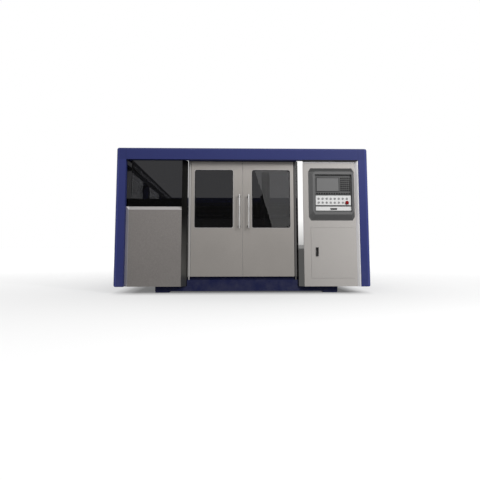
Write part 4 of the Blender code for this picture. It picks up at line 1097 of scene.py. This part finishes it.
class CUTTER_OT_rear_fittings(bpy.types.Operator):
    """Adds the frames round the pallet and scrap openings, the upper cover sheets and their fasteners"""
    bl_idname = "cutter.rear_fittings"
    bl_label = "Rear fittings"

    def execute(self, context):
        back, rim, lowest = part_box("rear_wall")[1].y + GAP, 0.045, 0.0935
        pallet_opening, scrap_opening = (-0.975, 1.095, 0.69, 0.99), (-0.747, 0.867, 0.114, 0.437)
        frames, bolts = [], []
        for low_x, high_x, low_z, high_z in (pallet_opening, scrap_opening):
            top = high_z + rim
            bar = ring("frame_bar", (-high_x - rim, -0.010, low_z - rim), (-low_x + rim, 0, top),
                       0.012, rim, 3)
            round_sharp(cut_below(bar, lowest), 0.002, 2)
            span = high_x - low_x + rim
            spots = [(-high_x - rim / 2 + span * i / 8, -0.010, top - rim / 2) for i in range(9)]
            frames.append(aim_out(bar, 180, (0, back, 0)))
            bolts.append(aim_out(copies("bolts", hexagon_bolt("bolt", 0.008, 1), spots), 180, (0, back, 0)))
        dress(weld("rear_frames", frames), "case_coat", "machine_frame")
        first, low, wide, tall = -1.595, 1.085, 1.050, 0.760
        places = [(first + (index + 1) * (wide + 0.010), back, low) for index in range(3)]
        spots = grid((0.030, wide - 0.030), (0.030, tall - 0.030))
        cover_row("rear", "machine_frame", 180, places, (wide, tall), {1: 7}, spots)
        dress(weld("rear_bolts", bolts), "bolt_steel", "machine_frame")
        return {"FINISHED"}


class CUTTER_OT_wall_ducts(bpy.types.Operator):
    """Adds the aluminium lamp ducts along the inside of the walls' top rails and their brackets"""
    bl_idname = "cutter.wall_ducts"
    bl_label = "Wall ducts"

    def execute(self, context):
        bottom, top, ducts = 1.778, 1.836, []
        for side, sign, count in (("left", 1, 6), ("right", -1, 5)):
            low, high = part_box(side + "_side_wall")
            inner = high.x if side == "left" else low.x
            near, far = sorted((inner + sign * GAP, inner + sign * 0.014))
            duct = slab("duct", (near, low.y + 0.03, bottom), (far, high.y - 0.05, top), 1, 0.004, 2)
            clip = block("clip", (near - 0.001, low.y + 0.60, bottom - 0.008),
                         (far + 0.001, low.y + 0.64, top + 0.008))
            ducts += [duct, copies("clips", clip, [(0, 0.95 * i, 0) for i in range(count)])]
        dress(weld("wall_ducts", ducts), "duct_grey", "machine_frame")
        return {"FINISHED"}


class CUTTER_OT_door_backs(bpy.types.Operator):
    """Adds the panes' clamp frames on the doors' inner faces, and the seal where the doors meet"""
    bl_idname = "cutter.door_backs"
    bl_label = "Door backs"

    def execute(self, context):
        face, over, edge = LEAF_BACK + GAP, 0.026, 0.015
        for side in SIDES:
            low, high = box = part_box(side + "_door_window")
            clamp = ring_round(side + "_clamp_frame", box, over, face, face + 0.005, 0.040, 0.022, 4)
            dress(round_sharp(clamp, 0.0012, 2), "case_coat", side + "_door")
            start, end = low.x - edge, high.x + edge
            spots = grid([-start - (end - start) * i / 5 for i in range(6)], (low.z - edge, high.z + edge), 0)
            spots += [(-x, 0, low.z + (high.z - low.z) * i / 7) for i in range(1, 7) for x in (start, end)]
            screws = copies(side + "_clamp_screws", hexagon_bolt("screw", 0.0055, 1), spots)
            dress(aim_out(screws, 180, (0, face + 0.005, 0)), "bolt_steel", side + "_door")
        low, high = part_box("left_door_leaf")
        seal = slab("door_meeting_seal", (-0.0027, LEAF_FACE + 0.005, low.z + 0.003),
                    (0.0026, LEAF_FACE + 0.028, high.z - 0.003), 2, 0.0008, 2)
        dress(seal, "post_coat", "left_door")
        return {"FINISHED"}


# Machine inside

class CUTTER_OT_inner_sheets(bpy.types.Operator):
    """Adds the rail and the glowing liner and duct end behind the left window, painted light, the rear wall's
    lining and the scrap chutes
    """
    bl_idname = "cutter.inner_sheets"
    bl_label = "Inner sheets"

    def execute(self, context):
        add_window_rail()
        add_rail_lamps()
        wall, first, low, wide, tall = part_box("rear_wall")[0].y - GAP, -1.540, 1.020, 1.020, 0.480
        sheets = [aim_out(sheet_panel("lining", wide, tall), 0, (first + index * (wide + 0.010), wall, low))
                  for index in range(3)]
        dress(weld("rear_lining", sheets), "case_coat", "machine_frame", angle=15)
        half, near, far = 0.0015, FRONT + 0.560, FRONT + 5.950
        foot, crown, reach, chutes = 0.4290, 0.7070, 0.181, []
        for x, sign in ((-0.903, 1), (1.023, -1)):
            chute = block("chute", (x - half, near, foot), (x + half, far, crown))
            pick(chute, "FACE", facing(2, -1))
            bpy.ops.transform.translate(value=(sign * reach, 0, 0))
            pull((sign * 0.006, 0, -0.0015))
            leave()
            chutes.append(tidy(chute))
        dress(weld("scrap_chutes", chutes), "raw_steel", "machine_frame")
        return {"FINISHED"}


def add_window_rail():
    """The blue rail behind the left window, and the liner and duct end between its pane and the wall, which
    glow: painted light.
    """
    low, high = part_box("left_window")
    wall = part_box("left_side_wall")
    rail_top, foot, sill, head, crown, slant = 1.329, 1.331, 1.725, 1.778, 1.838, 0.045
    first, near, last = low.x + 0.001, high.y + 0.002, (wall[1].x - GAP, wall[0].y - GAP)
    rail = block("window_rail", (first, high.y + GAP, low.z - 0.010),
                 (high.x - 0.001, high.y + 0.012, rail_top))
    dress(round_sharp(rail, 0.002, 2), "shaded_bed_coat", "machine_frame")
    lamp = round_sharp(block("lower_lamp", (first, near, foot), (*last, sill)), 0.0010, 2)
    upper = block("upper_lamp", (first, near, head), (*last, crown))
    shift(upper, "FACE", facing(0, -1), (0, 0, slant))
    dress(weld("post_lamp", [lamp, upper]), "painted_glow_face", "machine_frame")


def add_rail_lamps():
    """Flat lamps under the walls' top rails, cut slanting before each post."""
    bottom, top, lamps = 1.7075, 1.7097, []
    for side in SIDES:
        low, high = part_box(side + "_side_wall")
        inside = high.x - 0.001 if side == "left" else low.x + 0.001
        for start, (short, last) in zip((low.y + 0.034, FRONT + 1.974), LAMP_BAYS):
            lamp = block("lamp", (low.x + 0.001, start, bottom), (high.x - 0.001, last, top))
            corner = held(lambda point: point.y > last - 0.01 and abs(point.x - inside) < 0.01)
            shift(lamp, "EDGE", corner, (0, short - last, 0))
            lamps.append(round_edges(lamp, along(2), 0.004, 2))
    dress(weld("rail_lamps", lamps), "painted_glow_face", "machine_frame")


class CUTTER_OT_rail_screws(bpy.types.Operator):
    """Adds the cap screws along the gantry rails and racks"""
    bl_idname = "cutter.rail_screws"
    bl_label = "Rail screws"

    def execute(self, context):
        rows = []
        for kind, count in (("rail", 36), ("rack", 18)):
            for side in SIDES:
                low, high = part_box("%s_gantry_%s" % (side, kind))
                cap = turned("cap", [(0.0062, 0.0), (0.0062, 0.0010), (0.0056, 0.0015), (0.0032, 0.0015),
                                     (0.0030, 0.0006)], sides=12)
                x, step = (low.x + high.x) / 2, (high.y - low.y - 0.08) / (count - 1)
                spots = [(x, low.y + 0.04 + i * step, high.z + GAP) for i in range(count)]
                rows.append(copies("screws", cap, spots))
        dress(weld("rail_screws", rows), "bolt_steel", "machine_frame")
        return {"FINISHED"}


class CUTTER_OT_gantry_fittings(bpy.types.Operator):
    """Adds the crossbeam's tray and rear covers, and a servo motor and bolts on each carriage"""
    bl_idname = "cutter.gantry_fittings"
    bl_label = "Gantry fittings"

    def execute(self, context):
        low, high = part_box("crossbeam")
        tray = block("beam_tray", (low.x + 0.10, low.y + 0.035, high.z + GAP),
                     (high.x - 0.10, high.y - 0.035, high.z + 0.022))
        pick(tray, "FACE", facing(2, 1))
        bpy.ops.mesh.inset(thickness=0.003, depth=0.0)
        pull((0, 0, -0.018))
        leave()
        dress(tidy(round_sharp(tray, 0.0008, 1)), "case_coat", "gantry")
        first, wide, tall, edge = -1.480, 0.980, 0.180, 0.018
        places = [(first + (index + 1) * (wide + 0.008), high.y + GAP, low.z + 0.022) for index in range(3)]
        spots = grid((edge, wide / 2, wide - edge), (edge, tall - edge))
        cover_row("beam", "gantry", 180, places, (wide, tall), {}, spots, 0.011)
        motors, bolts = [], []
        for side in SIDES:
            low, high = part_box(side + "_carriage")
            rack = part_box(side + "_gantry_rack")
            x, top = (rack[0].x + rack[1].x) / 2, high.z + GAP
            motors.append(aim_out(servo_motor(), 0, (x, high.y - 0.050, top)))
            spots = [(low.x + 0.045 + 0.070 * i, low.y + 0.050, top) for i in range(4)]
            bolts.append(copies("bolts", hexagon_bolt("bolt", 0.009, 2), spots))
        dress(weld("gantry_motors", motors), "case_coat", "gantry")
        dress(weld("carriage_bolts", bolts), "bolt_steel", "gantry")
        return {"FINISHED"}


def servo_motor():
    """A flange with a square case and a cap on it, standing on the origin."""
    flange_half, case_half, thick, tall = 0.043, 0.036, 0.011, 0.100
    flange = slab("flange", (-flange_half, -flange_half, 0.0), (flange_half, flange_half, thick), 2, 0.008)
    case = slab("case", (-case_half, -case_half, thick), (case_half, case_half, tall), 2, 0.007)
    pick(case, "FACE", facing(2, 1))
    bpy.ops.mesh.inset(thickness=0.003, depth=0.0)
    pull((0, 0, -0.003))
    pull((0, 0, 0.036))
    leave()
    return round_sharp(weld("motor", [flange, case]), 0.0010, 2)


class CUTTER_OT_head_fittings(bpy.types.Operator):
    """Adds the head housing's cover and the cutting head's plate, rings and focus knob"""
    bl_idname = "cutter.head_fittings"
    bl_label = "Head fittings"

    def execute(self, context):
        low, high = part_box("head_carriage")
        wide, tall, cover_foot, plate_foot, plate_top = 0.110, 0.350, 1.458, 1.200, 1.420
        place = (high.x - 0.005 - wide, low.y - GAP, cover_foot)
        cover = aim_out(sheet_panel("housing_cover", wide, tall), 0, place)
        dress(cover, "trim_highlight_coat", "head_carriage", angle=15)
        spots = grid((0.013, wide - 0.013), (0.014, tall - 0.014))
        locks = aim_out(copies("housing_locks", quarter_turn("lock", 0.008), spots), 0, place)
        dress(locks, "latch_black", "head_carriage")
        low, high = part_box("cutting_head")
        x, y, knob_height = (low.x + high.x) / 2, (low.y + high.y) / 2, 1.245
        plate = slab("head_plate", (low.x + 0.006, low.y - 0.0035, plate_foot),
                     (high.x - 0.006, low.y - GAP, plate_top), 1, 0.006)
        press(plate, facing(1, -1), (0.005, -0.0012))
        dress(round_sharp(plate, 0.0006, 2), "satin_aluminium", "cutting_head")
        rings = [turned("ring", [(0.0325, 0.0), (0.0350, 0.0012), (0.0350, thick - 0.0012), (0.0325, thick)],
                        (x, y, height), sides=40)
                 for height, thick in ((1.052, 0.008), (1.078, 0.014), (1.128, 0.010))]
        dress(weld("head_rings", rings), "bright_steel", "cutting_head")
        knob = turned("focus_knob", [
            (0.0130, 0.0), (0.0130, 0.0015), (0.0100, 0.0020), (0.0100, 0.0090), (0.0090, 0.0100),
            (0.0040, 0.0100), (0.0036, 0.0086),
        ], (x, low.y - 0.0036, knob_height), 1, 28)
        dress(knob, "latch_black", "cutting_head")
        return {"FINISHED"}


# Console fittings

class CUTTER_OT_keys(bpy.types.Operator):
    """Models the key caps of the keypad and of the row under the screen, each on its mat"""
    bl_idname = "cutter.keys"
    bl_label = "Keys"

    def execute(self, context):
        rounding = context.scene.cutter_sizes.key_round
        for name, columns, rows in (("keypad", 5, 7), ("key_row", 14, 1)):
            low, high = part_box(name)
            mat = block(name + "_mat", (low.x, high.y - 0.003, low.z), high)
            dress(round_sharp(mat, 0.001, 2), "mat_grey", "machine_frame", [name])
            wide, tall, near, far = (high.x - low.x) / columns, (high.z - low.z) / rows, 0.17, 0.83
            cap = slab(name + "_cap", (near * wide, low.y - high.y, near * tall),
                       (far * wide, -0.0028, far * tall), 1, rounding * 1.6)
            pick(cap, "FACE", facing(1, -1))
            bpy.ops.mesh.inset(thickness=rounding * 0.6, depth=0.0)
            bpy.ops.transform.translate(value=(0, 0.0006, 0))
            leave()
            spots = [(low.x + i * wide, high.y, low.z + j * tall)
                     for j in range(rows) for i in range(columns)]
            dress(copies(name + "_caps", cap, spots), "key_black", "machine_frame", [name])
        return {"FINISHED"}


class CUTTER_OT_cabinet_fittings(bpy.types.Operator):
    """Adds the white edge trim, a painted highlight on the cabinet's top and right edges, and a dark strip
    under the beam as painted shade, and models the door's paddle latch
    """
    bl_idname = "cutter.cabinet_fittings"
    bl_label = "Cabinet fittings"

    def execute(self, context):
        low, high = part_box("control_cabinet")
        near, back = FRONT + 0.004, low.y - GAP
        # The white trim's colour paints the bright lines along the cabinet's right and top edges: painted
        # highlight.
        side = block("side_trim", (high.x - 0.042, near, low.z + 0.001), (high.x, back, high.z - 0.0145))
        corner = held(lambda point: point.y < near + 1e-5 and point.x < high.x - 0.041)
        shift(side, "EDGE", corner, (0.032, 0, 0))
        round_edges(side, along(2), 0.0012, 2)
        top = slab("top_trim", (low.x + 0.001, back - 0.0035, high.z - 0.0390),
                   (high.x - 0.0430, back, high.z - 0.0165), 0, 0.0012, 2)
        dress(weld("cabinet_trim", [side, top]), "trim_highlight_white", "machine_frame", angle=20)
        # A dark strip under the beam: painted shade where the beam shadows the cabinet's top.
        seal = slab("cabinet_seal", (low.x + 0.001, near + 0.001, high.z - 0.0142),
                    (high.x - 0.0005, back, high.z - 0.0003), 0, 0.002, 2)
        dress(seal, "rubber", "machine_frame")
        low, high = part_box("cabinet_latch")
        plate = slab("latch_plate", (low.x, high.y - 0.0045, low.z), high, 1, 0.006, 4)
        dress(round_sharp(plate, 0.0010, 2), "trim_highlight_coat", "cabinet_latch", ["cabinet_latch"])
        paddle = slab("latch_paddle", (low.x + 0.0030, low.y + 0.0005, low.z + 0.0040),
                      (high.x - 0.0030, high.y - 0.0042, high.z - 0.0040), 1, 0.004)
        press(paddle, facing(1, -1), (0.003, -0.0020))
        round_sharp(paddle, 0.0008, 2)
        barrel = turned("latch_barrel", [
            (0.0075, 0.0), (0.0075, 0.0052), (0.0066, 0.0062), (0.0030, 0.0062), (0.0028, 0.0040),
        ], ((low.x + high.x) / 2, low.y + 0.0062, high.z - 0.021), 1, 24)
        dress(weld("latch_paddle", [paddle, barrel]), "latch_black", "cabinet_latch",
              ["cabinet_latch"])
        return {"FINISHED"}


class CUTTER_OT_screen(bpy.types.Operator):
    """Adds the dark bezel round the screen and the thin frame round the white plate"""
    bl_idname = "cutter.screen"
    bl_label = "Screen bezel"

    def execute(self, context):
        low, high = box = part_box("screen")
        bezel = ring_round("screen_bezel", box, 0.0080, low.y - 0.0030, low.y - GAP, 0.004, 0.0105, 3)
        dress(round_sharp(bezel, 0.0009, 2), "bezel_black", "machine_frame")
        low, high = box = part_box("button_plate")
        edge = ring_round("plate_edge", box, 0.0028, low.y - 0.0008, high.y - 0.0005, 0.003, 0.0025, 3)
        dress(edge, "bezel_black", "machine_frame")
        return {"FINISHED"}


class CUTTER_OT_drawer_grip(bpy.types.Operator):
    """Lines the keyboard drawer's finger notch with a ribbed grip"""
    bl_idname = "cutter.drawer_grip"
    bl_label = "Drawer grip"

    def execute(self, context):
        low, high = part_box("keyboard_drawer")
        x, front, half, taper = (low.x + high.x) / 2, low.y, 0.0515, 0.87
        bottom, top = low.z + 0.0095, low.z + 0.0345
        liner = block("notch_liner", (x - half, front + 0.0040, bottom), (x + half, front + 0.0115, top))
        pick(liner, "FACE", facing(2, -1))
        bpy.ops.transform.resize(value=(taper, 1.0, 1.0), center_override=(x, front, bottom))
        leave()
        round_edges(liner, along(1), 0.003, 3)
        rib = block("rib", (-0.040, 0.0018, 0.0), (0.040, 0.0042, 0.0022))
        ribs = copies("notch_ribs", rib, [(x, front, bottom + 0.004 + 0.0055 * i) for i in range(4)])
        dress(weld("drawer_notch", [liner, ribs]), "bezel_black", "keyboard_drawer")
        return {"FINISHED"}


class CUTTER_OT_buttons(bpy.types.Operator):
    """Models the push buttons with their collars, and the emergency stop"""
    bl_idname = "cutter.buttons"
    bl_label = "Buttons"

    def execute(self, context):
        radius = context.scene.cutter_sizes.cap_radius
        spots = []
        for index in range(1, BUTTON_COUNT + 1):
            node = "button_%d" % index
            place, back, front = on_plate(node)
            spots.append(place)
            cap = turned(node + "_cap", [
                (radius, back), (radius, front - 0.0022), (radius - 0.0006, front - 0.0007),
                (radius - 0.0020, front), (radius - 0.0045, front), (radius - 0.0062, front - 0.0010),
            ], place, 1, 24)
            dress(cap, "button_grey", node, [node])
        place, back, front = on_plate("emergency_stop")
        stop = turned("stop_mushroom", [
            (0.0118, back), (0.0118, 0.008), (0.0215, 0.0095), (0.0250, 0.0110), (0.0259, 0.0135),
            (0.0255, 0.0165), (0.0238, 0.0195), (0.0205, 0.0218), (0.0150, 0.0234), (0.0080, front - 0.0002),
            (0.0030, front),
        ], place, 1, 40)
        dress(stop, "stop_red", "emergency_stop", ["emergency_stop"])
        sides = 24
        collar = turned("collar", [
            (0.0168, GAP), (0.0168, 0.0016), (0.0160, 0.0024), (0.0142, 0.0024), (0.0140, GAP),
        ], axis=1, sides=sides)
        pick(collar, "FACE", lambda face: len(face.verts) == sides)
        bpy.ops.mesh.delete(type="FACE")
        leave()
        pick(collar, "EDGE", lambda edge: edge.is_boundary)
        bpy.ops.mesh.bridge_edge_loops()
        leave()
        dress(copies("button_collars", tidy(collar), spots), "satin_aluminium", "machine_frame")
        return {"FINISHED"}


def on_plate(node):
    """A button's place on the plate, and how far its back and its front stand out from there."""
    low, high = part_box(node)
    return ((low.x + high.x) / 2, PLATE_FACE, (low.z + high.z) / 2), PLATE_FACE - high.y, PLATE_FACE - low.y


PIECES = (
    CUTTER_OT_finishes, CUTTER_OT_door_windows, CUTTER_OT_handles, CUTTER_OT_strips, CUTTER_OT_sill_riser,
    CUTTER_OT_top_seal, CUTTER_OT_panel_trim, CUTTER_OT_cabinet_fittings, CUTTER_OT_screen, CUTTER_OT_keys,
    CUTTER_OT_buttons, CUTTER_OT_drawer_grip, CUTTER_OT_side_covers, CUTTER_OT_side_frames,
    CUTTER_OT_rear_fittings, CUTTER_OT_wall_ducts, CUTTER_OT_door_backs, CUTTER_OT_inner_sheets,
    CUTTER_OT_rail_screws, CUTTER_OT_gantry_fittings, CUTTER_OT_head_fittings, CUTTER_OT_stage,
)


class CUTTER_PT_panel(bpy.types.Panel):
    """Lists the cutter's settings and pieces"""
    bl_idname = "CUTTER_PT_panel"
    bl_label = "Laser cutter"
    bl_space_type = "VIEW_3D"
    bl_region_type = "UI"
    bl_category = "Laser cutter"

    def draw(self, context):
        for settings in (context.scene.cutter_sizes, context.scene.cutter_colours):
            for label in settings.__annotations__:
                self.layout.prop(settings, label)
        for piece in PIECES:
            self.layout.operator(piece.bl_idname)


CLASSES = (CutterSizes, CutterColours, *PIECES, CUTTER_PT_panel)


def register():
    for item in CLASSES:
        bpy.utils.register_class(item)
    bpy.types.Scene.cutter_sizes = PointerProperty(type=CutterSizes)
    bpy.types.Scene.cutter_colours = PointerProperty(type=CutterColours)


def unregister():
    del bpy.types.Scene.cutter_colours
    del bpy.types.Scene.cutter_sizes
    for item in reversed(CLASSES):
        bpy.utils.unregister_class(item)


def main():
    register()
    for piece in PIECES:
        group, name = piece.bl_idname.split(".")
        getattr(getattr(bpy.ops, group), name)()
    release()


if __name__ == "__main__":
    main()
